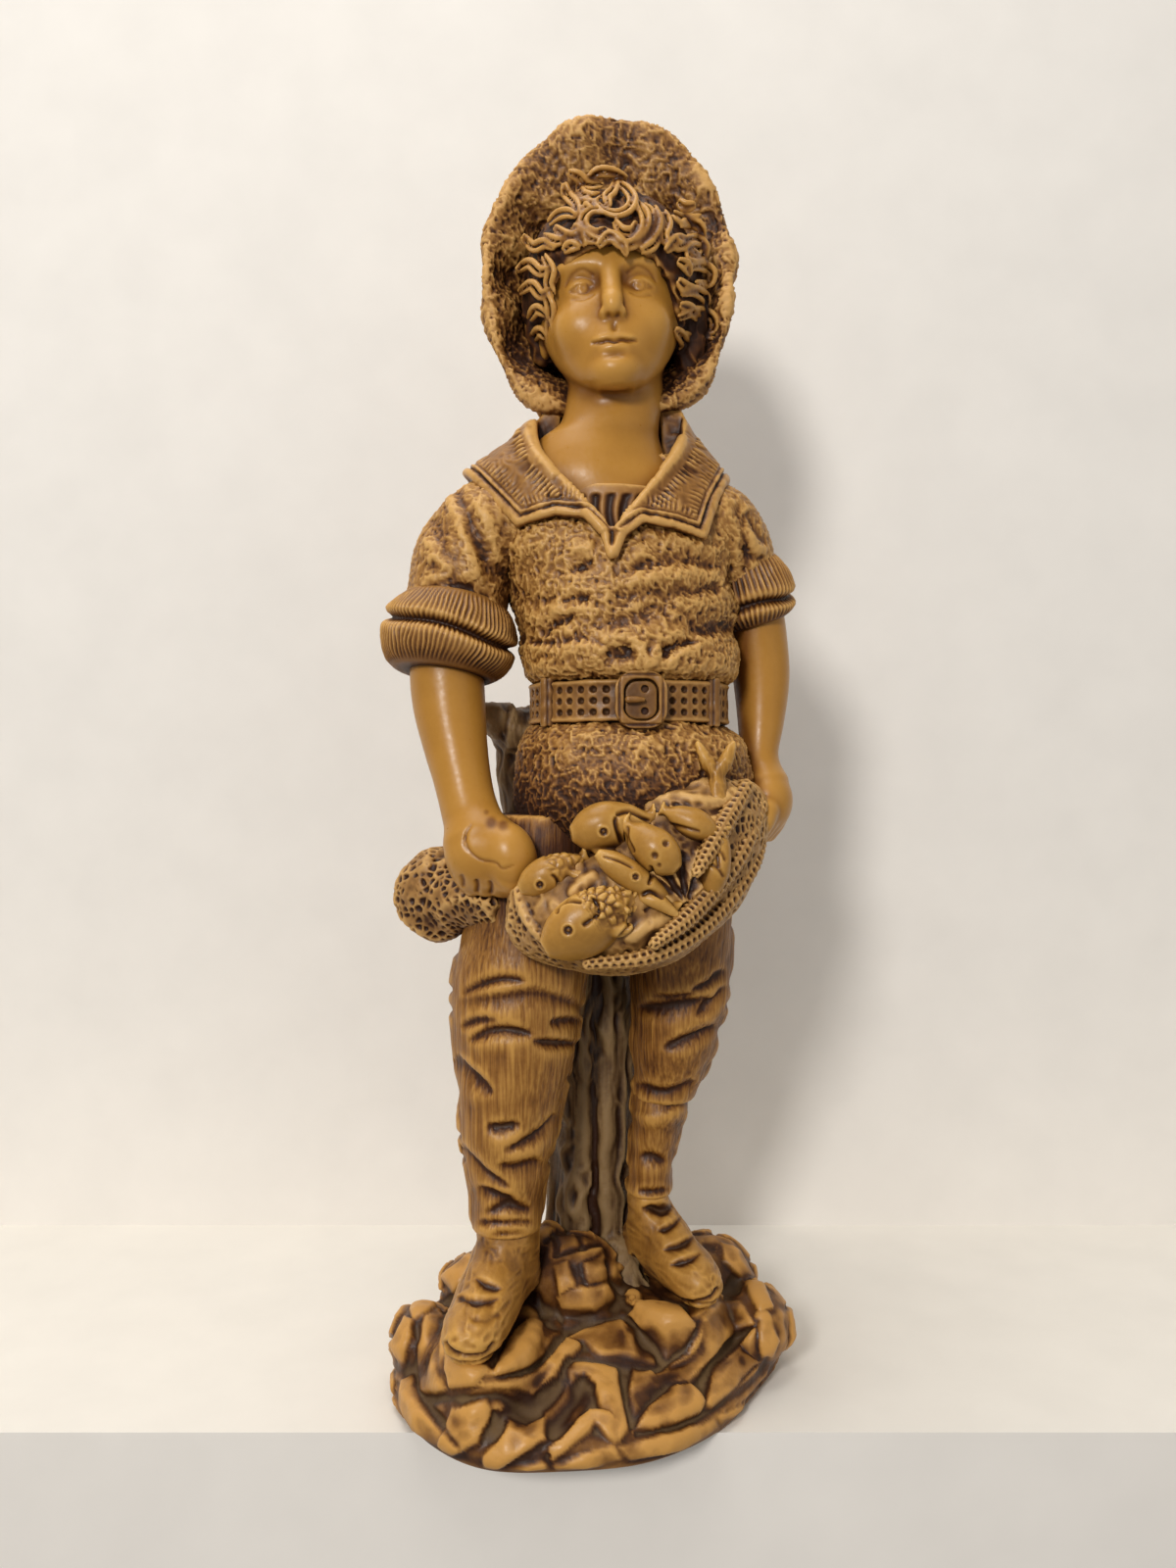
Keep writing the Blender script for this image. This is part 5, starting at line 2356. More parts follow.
@dataclass(frozen=True)
class Head:
    """The head and neck, with a calm, plain face."""

    GRAIN: float = 0.42
    FACE: tuple = (
        (HEAD_X, -11, CHIN, 4.5, 4.5), (HEAD_X, -9.6, CHIN + 2, 7.6, 7.4),
        (HEAD_X, -7, CHIN + 6, 11.4, 10.6), (HEAD_X, -4.4, CHIN + 12, 14.6, 13.6),
        (HEAD_X, -2.6, CHIN + 18, 16.4, 15.6), (HEAD_X, -1.2, EYES, 17.2, 16.6),
        (HEAD_X, -1, EYES + 6, 17.2, 17.4), (HEAD_X, 0, EYES + 13, 16, 17.4), (HEAD_X, 3, EYES + 22, 11, 13),
    )
    NECK: tuple = (
        (HEAD_X - 1.2, -2, SHOULDER - 2.7, 18, 12.5), (HEAD_X - 3.4, -1, SHOULDER + 4, 21, 13.2),
        (HEAD_X - 4.4, -0.3, SHOULDER + 10, 18.4, 12.6), (HEAD_X - 3.6, 0.4, SHOULDER + 15, 15.6, 11.8),
        (HEAD_X - 1.2, 0.8, SHOULDER + 19, 13, 11.4), (HEAD_X + 0.7, 3, CHIN + 6, 12.4, 11.6),
        (HEAD_X + 0.4, 5, CHIN + 14, 11.4, 11),
    )

    LINES: tuple[Stroke, ...] = (
        Stroke(((-11.4, -1.2), (-9.6, -3.4), (-6.8, -4.2), (-3.8, -2.6)), 0.42, -0.3),
        Stroke(((11.4, -1.2), (9.6, -3.4), (6.8, -4.2), (3.8, -2.6)), 0.42, -0.3),
        Stroke(((-10, 2.6), (-7, 3.5), (-4.2, 2.4)), 0.5, -0.2),
        Stroke(((10, 2.6), (7, 3.5), (4.2, 2.4)), 0.5, -0.2),
        Stroke(((-3.2, 7.2), (-3.7, 8.6), (-3.0, 10)), 0.4, -0.16),
        Stroke(((3.2, 7.2), (3.7, 8.6), (3.0, 10)), 0.4, -0.16),
        Stroke(((-5.8, 15.2), (-3.4, 15.7), (-1.6, 15.5), (0, 15.9), (1.6, 15.5), (3.4, 15.7), (5.8, 15.2)),
               0.42, -0.8),
    )

    def _ball(self, clay: Clay, x: float, y: float, z: float, rx: float, ry: float, rz: float,
              turn: float = 0.0) -> Array:
        """Distances to a squeezed ball placed from the middle between the eyes.

        Args:
            clay: The block.
            x: Its place across in mm.
            y: Its depth in mm.
            z: Its place up in mm.
            rx: Its half width in mm.
            ry: Its half depth in mm.
            rz: Its half height in mm.
            turn: Its tilt in degrees.

        Returns:
            The distances over the block.
        """
        return clay.ball((HEAD_X + x, y, EYES + z), (rx, ry, rz), turning(turn, "y"))

    def _eye(self, clay: Clay, side: int) -> None:
        """Models an eye with its brow and lids.

        Args:
            clay: The block.
            side: -1 for the right eye, 1 for the left.
        """
        clay.add(self._ball(clay, 6.8 * side, -13.6, 6.2, 6.6, 3.4, 1.9, 4 * side), 3)
        clay.cut(self._ball(clay, 7.1 * side, -19.4, 0.6, 4.9, 4.2, 3.2), 2.4)
        clay.cut(self._ball(clay, 4.0 * side, -19.8, 1.4, 1.9, 3.2, 2.4), 1.6)
        clay.add(self._ball(clay, 7.0 * side, -12.4, 0, 3.7, 3.7, 3.7), 0.2)
        x = clay.x - HEAD_X - 7.0 * side
        z = clay.z - EYES
        upper = np.maximum(self._ball(clay, 7.0 * side, -12.4, 0, 4.5, 4.2, 4.2), 1.0 - 0.09 * x * x - z)
        lower = np.maximum(self._ball(clay, 7.0 * side, -12.4, 0, 4.4, 4.1, 4.1), z + 1.75 - 0.08 * x * x)
        clay.add(upper, 0.5)
        clay.add(lower, 0.5)

    def _nose(self, clay: Clay) -> None:
        """Models the nose.

        Args:
            clay: The block.
        """
        bridge = ((-16.3, 4.4, 1.2), (-17.2, 0.4, 1.1), (-18.7, -4.0, 1.2), (-19.9, -6.6, 1.4))
        clay.rod([(HEAD_X, y, EYES + z, r) for y, z, r in bridge], blend=2.2)
        clay.add(self._ball(clay, 0, -19.9, -7.8, 1.8, 1.7, 1.6), 1.4)
        for side in (-1, 1):
            clay.add(self._ball(clay, 2.2 * side, -18.4, -8.3, 1.15, 1.8, 1.2), 1.0)
            clay.cut(self._ball(clay, 1.2 * side, -19.6, -9.6, 0.6, 1.0, 0.6), 0.5)

    def _mouth(self, clay: Clay) -> None:
        """Models the lips and the chin.

        Args:
            clay: The block.
        """
        clay.add(self._ball(clay, 0, -13.2, -13.6, 6.8, 4.9, 4.6), 3.5)
        clay.cut(self._ball(clay, 0, -19.7, -12.0, 0.8, 1.5, 1.6), 0.8)
        for side in (-1, 1):
            clay.add(self._ball(clay, 2.0 * side, -16.9, -14.4, 3.2, 2.0, 1.1, 9 * side), 0.9)
        clay.add(self._ball(clay, 0, -16.7, -17.0, 3.9, 2.2, 1.4), 0.9)
        clay.add(self._ball(clay, 0, -14.4, -21.2, 4.8, 4.0, 3.6), 3)
        clay.cut(self._ball(clay, 0, -20.0, -18.9, 3.4, 1.7, 0.8), 1.4)

    def make(self, shop: Shop) -> None:
        """Makes the head.

        Args:
            shop: Where pieces are made.
        """
        clay = Clay((HEAD_X - 23, -26, SHOULDER - 6), (HEAD_X + 23, 28, EYES + 30), self.GRAIN)
        clay.add(self._ball(clay, 0, 4, 6, 18, 20, 20.5))
        clay.add(self._ball(clay, 0, -1, 1, 17.6, 14.5, 19))
        clay.add(clay.of(limb(self.FACE, sides=72, level=True)), 4)
        for side in (-1, 1):
            self._eye(clay, side)
            clay.add(self._ball(clay, 8.4 * side, -11.8, -8.5, 5.2, 4.6, 5.2), 4)
            clay.add(self._ball(clay, 18 * side, 3.5, -3, 1.8, 3.4, 5.4, 8 * side), 1)
        self._nose(clay)
        self._mouth(clay)
        clay.add(clay.of(limb(self.NECK, sides=72, level=True, pose=head_upright)), 2.6)
        surface = clay.skin()
        surface.relax(1)
        across, down = surface.points[:, 0] - HEAD_X, EYES - surface.points[:, 2]
        ahead = surface.points[:, 1] < -8
        surface.push(drawn(across, down, np.ones(len(across)), self.LINES, ahead))
        for side in (-1, 1):
            far = np.hypot(across - 7.0 * side, down - 0.1)
            ring = -0.13 * np.exp(-(((far - 1.45) / 0.28) ** 2)) - 0.2 * np.exp(-((far / 0.55) ** 2))
            surface.push(ring * ahead)
        surface.points = head_pose(surface.points)
        surface.push(0.25 * (cloud(surface.points, 7, 111) - 0.5))
        shop.piece("head_and_neck", surface, SKIN, "head")


on_head = HEAD_PATCH.run


@dataclass(frozen=True)
class Hair:
    """Curly locks that spring from under the hat, each a bundle of strands."""

    GRAIN: float = 0.48
    MIDDLE: Array = field(default_factory=lambda: np.array([6.5, 2.0, 283.0]))
    RADII: Array = field(default_factory=lambda: np.array([24.0, 21.0, 25.0]))
    SPACING: float = 1.7
    SPAN: float = 0.245
    LOBES: dict = field(default_factory=lambda: {
        -1: ((18, 0, 40, 3), (18.6, 1, 32, 3.2), (18.8, 3, 24, 2.8), (18.2, 5, 17, 2)),
        1: ((18.4, -2, 42, 3.2), (20, -1, 33, 3.8), (20.8, 1, 24, 3.6), (20.4, 3, 15, 3), (19.4, 5, 9, 2)),
    })
    LOCKS: tuple = tuple(on_head(*line) for line in (
        (385, 345, 392, 385, 430, 428, 444, 480), (440, 350, 462, 392, 500, 402, 530, 386),
        (546, 462, 500, 456, 466, 486, 466, 524, 506, 546, 552, 528),
        (590, 340, 636, 366, 664, 410, 650, 448, 604, 470, 548, 456, 510, 414),
        (560, 540, 606, 588, 656, 594, 704, 550, 712, 494, 690, 440, 676, 404),
        (640, 596, 696, 580, 738, 520, 734, 460, 704, 424), (750, 440, 766, 500, 754, 548, 726, 580),
        (790, 460, 806, 510, 792, 560, 812, 604), (687, 293, 753, 285, 812, 318, 828, 393, 803, 435),
        (720, 327, 770, 335, 795, 385, 778, 427), (830, 466, 866, 492, 906, 492, 944, 478),
        (860, 512, 896, 504, 940, 524, 956, 560), (876, 622, 912, 604, 946, 630, 928, 664, 886, 656),
        (320, 506, 360, 474, 400, 466, 436, 480), (346, 524, 386, 556, 420, 568, 452, 560),
        (380, 572, 430, 560, 476, 548, 520, 560), (520, 600, 566, 560, 620, 590, 640, 640),
        (800, 620, 836, 580, 872, 560), (590, 500, 620, 540, 660, 540, 676, 500),
        (380, 620, 410, 600, 446, 604), (480, 330, 520, 300, 580, 300, 640, 320),
        (400, 300, 440, 316, 480, 350, 540, 350), (850, 420, 880, 440, 920, 430),
        (820, 560, 850, 600, 880, 590), (300, 560, 340, 580, 380, 580), (420, 520, 440, 540, 470, 600),
        (500, 440, 470, 420, 450, 450), (700, 620, 740, 600, 770, 560),
        (440, 500, 450, 540, 490, 570, 540, 580), (600, 330, 580, 380, 560, 400, 570, 440),
    ))
    SIDE_LOCKS: tuple = tuple(on_head(*line) for line in (
        (853, 580, 920, 573, 957, 607, 937, 652, 895, 647, 887, 618),
        (878, 693, 937, 680, 987, 710, 973, 757, 920, 743), (862, 793, 920, 785, 962, 818, 953, 860),
        (853, 893, 920, 868, 987, 893, 995, 943, 945, 960), (878, 960, 937, 1002, 987, 993, 1003, 1035),
        (853, 1027, 920, 1043, 970, 1080, 953, 1127), (820, 1093, 887, 1127, 920, 1177, 903, 1227),
        (850, 740, 880, 770, 930, 780), (860, 840, 900, 860, 940, 910), (850, 660, 880, 680, 900, 720),
        (840, 940, 870, 980, 900, 1060), (214, 560, 260, 604, 300, 590, 344, 610),
        (190, 700, 240, 672, 286, 706, 336, 690), (200, 790, 250, 760, 290, 800, 330, 776),
        (300, 640, 330, 700, 322, 760, 344, 800), (240, 900, 270, 860, 310, 884),
        (250, 990, 280, 950, 312, 980), (310, 800, 330, 860, 326, 930), (318, 900, 330, 960, 320, 1020),
    ))

    def _on_dome(self, across: float, down: float) -> Array:
        """Finds where a place of the front view meets the hair's dome.

        Args:
            across: Place across the view.
            down: Place down the view.

        Returns:
            The point in mm.
        """
        ray = np.array(behind_front(across, down, 0.0)) - EYE
        a, b = ray / self.RADII, (EYE - self.MIDDLE) / self.RADII
        aa, ab = a @ a, a @ b
        inside = ab * ab - aa * (b @ b - 1)
        t = (-ab - math.sqrt(inside)) / aa if inside > 0 else -ab / aa
        return EYE + t * ray

    def _lock(self, clay: Clay, lock: Sequence[Sequence[float]], strands: int) -> None:
        """Lays a lock of strands over the dome.

        Args:
            clay: The block.
            lock: The places of the front view that it passes.
            strands: How many strands.
        """
        line = curve(lock, np.linspace(0, 1, 7 * (len(lock) - 1) + 1), measure=2)
        share = np.linspace(0, 1, len(line))
        along = np.gradient(line, axis=0)
        along /= np.linalg.norm(along, axis=1)[:, None]
        across = np.stack([-along[:, 1], along[:, 0]], axis=1)
        full = np.maximum(np.sin(math.pi * (0.1 + 0.86 * share)), 0) ** 0.6
        for number in range(strands):
            off = number - 0.42 * (strands - 1)
            bold = 0.56 - 0.1 * number
            rows = []
            for place, side, f in zip(line, across, full):
                moved = place + side * off * self.SPACING * f / self.SPAN
                back = 0.5 * number + 0.5 * (1 - f)
                rows.append((*(self._on_dome(*moved) + np.array([0.0, back, 0.0])), 0.2 + bold * f))
            clay.rod(rows, blend=0.05, smooth=1)

    def _posed(self, x: float, y: float, rise: float) -> Array:
        """Places a point on the tilted head, from the chin."""
        return head_pose(np.array([[HEAD_X + x, y, CHIN + rise]]))[0]

    def _side(self, clay: Clay, side: int, rows: Sequence[Sequence[float]]) -> None:
        """Adds curled strands beside the face.

        Args:
            clay: The block.
            side: -1 for the right side, 1 for the left.
            rows: The lobe that they wind round.
        """
        lobe = curve(rows, np.linspace(0, 1, 11), measure=3)
        for number in range(0, 15, 2):
            lean = -1.9 + 3.6 * (number % 5) / 4 + 0.3 * math.sin(5.0 * number)
            start = 3 * (number // 5)
            strand = []
            for step in range(6):
                x, y, rise, r = lobe[min(start + step, 10)]
                bend = lean + 0.55 * math.sin(1.5 * step + 2.1 * number)
                out, ahead = x - r * math.sin(bend), y - r * math.cos(bend) - 0.2
                place = self._posed(side * out, ahead, rise - 0.6 * (number % 3))
                strand.append((*place, 0.25 + 0.42 * math.sin(math.pi * (0.1 + 0.16 * step))))
            clay.rod(strand, blend=0.05, smooth=3)

    def _nape(self, clay: Clay) -> None:
        """Adds two rows of strands over the nape.

        Args:
            clay: The block.
        """
        chance = np.random.default_rng(12)
        for number in range(60):
            spread_out = 0.96 if number < 30 else 0.66
            turn = math.pi * (0.5 + spread_out * ((number % 30) / 29 - 0.5))
            rise = 20 if number < 30 else 3
            start = chance.uniform(-3, 3)
            for strand in range(3):
                rows = []
                for step in range(5):
                    bend = turn + 0.16 * math.sin(1.9 * step + number)
                    bend += 0.05 * (strand - 1) * math.sin(0.7 * step + 0.4)
                    spread = 1.02 + 0.03 * (step % 2)
                    place = self._posed(20.5 * spread * math.cos(bend), 7 + 19.5 * spread * math.sin(bend),
                                        27 + rise + start - 6.5 * step)
                    rows.append((*place, 0.5 + 0.6 * math.sin(math.pi * step / 4)))
                clay.rod(rows, blend=0.2)

    def make(self, shop: Shop) -> None:
        """Makes the hair.

        Args:
            shop: Where pieces are made.
        """
        clay = Clay((HEAD_X - 29, -26, CHIN + 2), (HEAD_X + 30, 30, CHIN + 66), self.GRAIN)
        clay.add(clay.ball(self._posed(0, 7, EYES + 7 - CHIN), (20.5, 19.5, 22.5), HEAD_TURN))
        clay.add(clay.ball(self.MIDDLE, self.RADII - 1.7), 1)
        for side, rows in self.LOBES.items():
            clay.rod([(*self._posed(side * x, y, rise), r) for x, y, rise, r in rows], blend=2)
        clay.cut(clay.ball(self._posed(0, -13.5, 12.5), (18, 18, 21.5), HEAD_TURN), 1)
        body = clay.field.copy()
        for side, rows in self.LOBES.items():
            self._side(clay, side, rows)
        for lock in self.LOCKS + self.SIDE_LOCKS:
            self._lock(clay, lock, 2)
        self._nape(clay)
        surface = clay.skin()
        root = 1 - ease(clay.near(body, surface.points), 0.1, 0.8)
        surface.push(1.3 * root * (ridges(surface.points, 2.8, 121) - 0.7))
        surface.stain = 1.5 * root
        shop.piece("curly_hair", surface, HAIR, "hair")


@dataclass(frozen=True)
class Hat:
    """The woolly hat on the back of the head, whose brim stands round the face."""

    GRAIN: float = 0.49
    HALF_WIDTH: float = 33.2
    HALF_HEIGHT: float = 41.0
    WALL: float = 6.0
    CROWN_DEPTH: float = 34.0
    TUFT_HEIGHT: float = 0.6

    def _shell(self) -> Shape:
        """Turns the hat's profile into a shell with a wavy brim.

        Returns:
            The shell's shape.
        """
        rim, deep, wall = self.HALF_WIDTH, self.CROWN_DEPTH, self.WALL
        profile = np.array([
            (0.01, deep - wall), (0.3 * rim, deep - wall - 1), (0.5 * rim, deep - wall - 6), (0.62 * rim, 15),
            (0.69 * rim, 9), (0.77 * rim, 4.4), (0.86 * rim, 0.6), (0.94 * rim, -1.9), (0.985 * rim, -1.4),
            (rim, 1), (0.985 * rim, 4.4), (0.9 * rim, 8), (0.84 * rim, 12), (0.8 * rim, 19),
            (0.68 * rim, deep - 6), (0.36 * rim, deep - 1), (0.01, deep),
        ])
        rows = curve(profile, np.linspace(0, 1, 101), measure=2)
        sides = 160
        turn = np.arange(sides) * 2 * math.pi / sides
        across = rows[:, :1] * np.cos(turn)[None, :]
        up = rows[:, :1] * np.sin(turn)[None, :]
        angle = turn[None, :] + 0 * across
        power = 2 + 0.8 * ease(-np.sin(angle), 0, 0.8)
        squaring = (np.abs(np.cos(angle)) ** power + np.abs(np.sin(angle)) ** power) ** (-1 / power)
        on_brim = ease(rows[:, :1] + 0 * angle, 0.7 * rim, rim)
        wave = 1.2 * on_brim * np.sin(3 * angle + 0.6)
        tall = 1 + (self.HALF_HEIGHT / self.HALF_WIDTH - 1) * on_brim
        z = up * squaring * tall - 5 * (1 - on_brim)
        x = across * squaring
        y = rows[:, 1:2] + wave + 0.1 * z
        points = np.stack([x, y, z], axis=2).reshape(-1, 3) + np.array(HAT_MIDDLE)
        points = np.vstack([points, points[:sides].mean(0), points[-sides:].mean(0)])
        quads, triangles = ring_faces(len(rows) - 1, sides)
        return points, quads[:, [0, 3, 2, 1]], triangles[:, [0, 2, 1]]

    def make(self, shop: Shop) -> None:
        """Makes the hat.

        Args:
            shop: Where pieces are made.
        """
        shell = self._shell()
        clay = Clay(shell[0].min(0) - 1, shell[0].max(0) + 1, self.GRAIN)
        clay.add(clay.of(shell))
        cap = head_pose(np.array([[HEAD_X, 7, EYES + 7]]))[0]
        clay.cut(clay.ball(cap, (20.3, 19.3, 22.3), HEAD_TURN))
        surface = clay.skin()
        across, back, up = (surface.points - np.array(HAT_MIDDLE)).T
        angle = np.arctan2(up, across)
        wave = np.sin(11 * angle + 0.3 * back) + np.sin(7 * angle - 0.35 * back + 2)
        surface.push(self.TUFT_HEIGHT * ease(np.hypot(across, up), 6, 16) * wave)
        surface.relax(1)
        surface.push(wool(surface, 1.7, 0.5, 132))
        out = np.hypot(across / self.HALF_WIDTH, up / self.HALF_HEIGHT)
        surface.stain = 0.8 * ease(out, 0.8, 0.92) * (1 - ease(back, 4, 9))
        shop.piece("woolly_hat", surface, HAT, "hat")


@dataclass(frozen=True)
class Catch:
    """The fish that lie in the net."""

    GRAIN: float = 0.36
    EYES_SHOWN: tuple = (
        (*on_net(447, 702)[0], 1.15), (*on_net(355, 553)[0], 0.95), (*on_net(332, 663)[0], 0.9),
        (*on_net(563, 380)[0], 1.05), (*on_net(668, 527)[0], 0.85),
    )
    LINES: tuple[Stroke, ...] = strokes(
        on_net,
        ((0.5, -0.8, 0.3), 410, 648, 418, 620, 450, 606, 492, 612),
        ((0.6, -0.9, 0.3), 496, 690, 522, 672, 548, 652),
        ((0.5, -0.7, 0.2), 520, 592, 542, 620, 546, 652),
        ((0.6, -0.7, 0.3), 650, 640, 640, 690, 610, 730),
        ((0.4, -0.6), 300, 596, 350, 604, 414, 592),
        ((0.45, -0.7, 0.2), 392, 520, 412, 540, 416, 580),
        ((0.6, -0.9, 0.3), 604, 330, 600, 350, 622, 420),
        ((0.6, -0.9, 0.3), 604, 328, 650, 316, 712, 350),
        ((0.5, -0.6, 0.2), 640, 360, 636, 400, 660, 450),
        ((0.4, -0.5, 0.2), 560, 462, 620, 480, 660, 500),
        ((0.45, -0.7, 0.2), 712, 556, 724, 520, 716, 490),
        ((0.45, -0.7, 0.2), 686, 590, 716, 578, 760, 600),
        ((0.45, -0.6), 740, 350, 800, 362, 880, 380),
        ((0.5, -0.7), 910, 396, 930, 440, 940, 500),
        ((0.4, -0.5), 920, 430, 950, 450, 962, 476),
        ((0.4, -0.5), 904, 480, 936, 500, 958, 530),
    )
    SPOTS: tuple = (
        (*on_net(730, 458)[0], 0.8, -0.6), (*on_net(767, 418)[0], 0.75, -0.6),
        (*on_net(745, 490)[0], 0.5, -0.4),
    )
    FISH: dict = field(default_factory=lambda: {
        "large_fish": ((-10, NET_FRONT + 1.5, GRASP - 27), (14, NET_FRONT + 4, GRASP - 13), 7.0, 5.6, 1),
        "diving_fish": ((20.5, NET_FRONT + 2.5, GRASP - 9), (8, NET_FRONT + 6.5, GRASP + 2), 4.7, 4.5, 0),
        "small_fish": ((-16, NET_FRONT + 8, GRASP - 14), (0, NET_FRONT + 9, GRASP - 6), 4.3, 4, 0.5),
        "slim_fish": ((2, NET_FRONT + 2.5, GRASP - 5), (21, NET_FRONT + 4.5, GRASP - 18), 3.2, 3.5, 0),
        "upper_fish": ((-4, NET_FRONT + 8, GRASP - 1), (16, NET_FRONT + 11, GRASP + 3), 5.7, 5.1, 0),
        "side_fish": ((30, NET_FRONT + 8, GRASP - 1), (17, NET_FRONT + 9, GRASP + 5), 3.4, 3.6, 0),
        "curled_fish": ((28, NET_FRONT + 8, GRASP - 16), (32, NET_FRONT + 9, GRASP + 1), 3.4, 3.6, 0),
    })
    SHARES: tuple = (
        (0, 0.3, 0.3), (0.14, 0.75, 0.75), (0.4, 1, 1), (0.72, 0.7, 0.7), (0.92, 0.3, 0.35), (1, 0.6, 0.25),
    )
    FINS: dict = field(default_factory=lambda: {
        "large_fish": (on_net(560, 600, 600, 610, 648, 650), on_net(560, 690, 610, 700, 650, 690)),
        "small_fish": (on_net(455, 512, 490, 530, 536, 560), on_net(455, 560, 490, 572, 530, 590)),
        "slim_fish": (on_net(560, 470, 600, 480, 650, 500), on_net(690, 596, 740, 610, 800, 650)),
        "upper_fish": (on_net(510, 330, 570, 310, 630, 320), on_net(540, 440, 590, 460, 640, 460)),
    })

    def _fish(self, name: str, seed: int) -> Surface:
        """Makes a fish.

        Args:
            name: Which fish.
            seed: Which noise.

        Returns:
            The surface.
        """
        snout, tail, half, deep, scaly = self.FISH[name]
        rows = []
        for share, wide, thick in self.SHARES:
            middle = [a + share * (b - a) for a, b in zip(snout, tail)]
            rows.append((*middle, 1.08 * wide * half, 1.04 * thick * deep))
        given = np.asarray(rows)
        clay = Clay(given[:, :3].min(0) - half - 2, given[:, :3].max(0) + half + 2, self.GRAIN)
        clay.add(clay.of(limb(rows, sides=64, rings=60, facing=(0, 1, 0.35))))
        for fin in self.FINS.get(name, ()):
            depth = 0.5 * (snout[1] + tail[1]) - 0.45 * deep
            line = [behind_front(*place, depth) for place in fin]
            clay.rod([(*point, r) for point, r in zip(line, (0.9, 1.5, 0.7))], blend=0.8)
        surface = clay.skin()
        surface.relax(1)
        share, _, _ = around(surface.points, rows, facing=(0, 1, 0.35))
        first, second, _ = cells(surface.points, 2.1, seed)
        middle_level = np.interp(share, (0, 1), (snout[2], tail[2]))
        upper = ease(surface.points[:, 2] - middle_level, -0.4 * half, 0.1 * half)
        scaled = ease(share, 0.42, 0.47) * (1 - ease(share, 0.8, 0.88)) * scaly * upper
        surface.push(0.62 * scaled * (ease(second - first, 0.05, 0.8) - 0.7))
        finned = ease(share, 0.88, 0.95)
        surface.push(0.2 * finned * (ridges(surface.points, 1.3, seed + 3) - 0.5))
        surface.push(surface.carve(self.LINES) + surface.dots(self.SPOTS))
        rings = [(x, y, 1.35 * r, 0.3) for x, y, r in self.EYES_SHOWN]
        hollows = [(x, y, 0.85 * r, -0.95) for x, y, r in self.EYES_SHOWN]
        balls = [(x, y, 0.42 * r, 0.5) for x, y, r in self.EYES_SHOWN]
        surface.push(surface.dots(rings) + surface.dots(hollows, 0.3) + surface.dots(balls, 0.4))
        surface.stain = -0.45 * surface.dots(hollows, 0.3)
        return surface

    def _tail(self) -> Surface:
        """Makes the loose tail.

        Returns:
            The surface.
        """
        root, fork = np.array([31, NET_FRONT + 15, GRASP + 7]), np.array([31, NET_FRONT + 16.5, GRASP + 14])
        clay = Clay((22, NET_FRONT + 10, GRASP + 2), (39, NET_FRONT + 22, GRASP + 24), 0.33)
        clay.rod([(*root, 2.4), (*(root + 0.6 * (fork - root)), 2.1), (*fork, 1.5)])
        for spread in (-4.6, 4.0):
            x, y, z = fork
            clay.rod([(x, y, z - 1, 1.6), (x + 0.55 * spread, y, z + 2.4, 1.45),
                      (x + spread, y + 0.6, z + 6.5, 0.6)], blend=0.8)
        surface = clay.skin()
        surface.push(0.25 * (ridges(surface.points * np.array([1.6, 1, 0.5]), 1.2, 147) - 0.5))
        return surface

    def make(self, shop: Shop) -> None:
        """Makes every fish and the loose tail.

        Args:
            shop: Where pieces are made.
        """
        for number, name in enumerate(self.FISH):
            shop.piece("moulded_" + name, self._fish(name, 141 + 7 * number), FISH, name)
        shop.piece("forked_tail", self._tail(), FISH, "fish_tail")


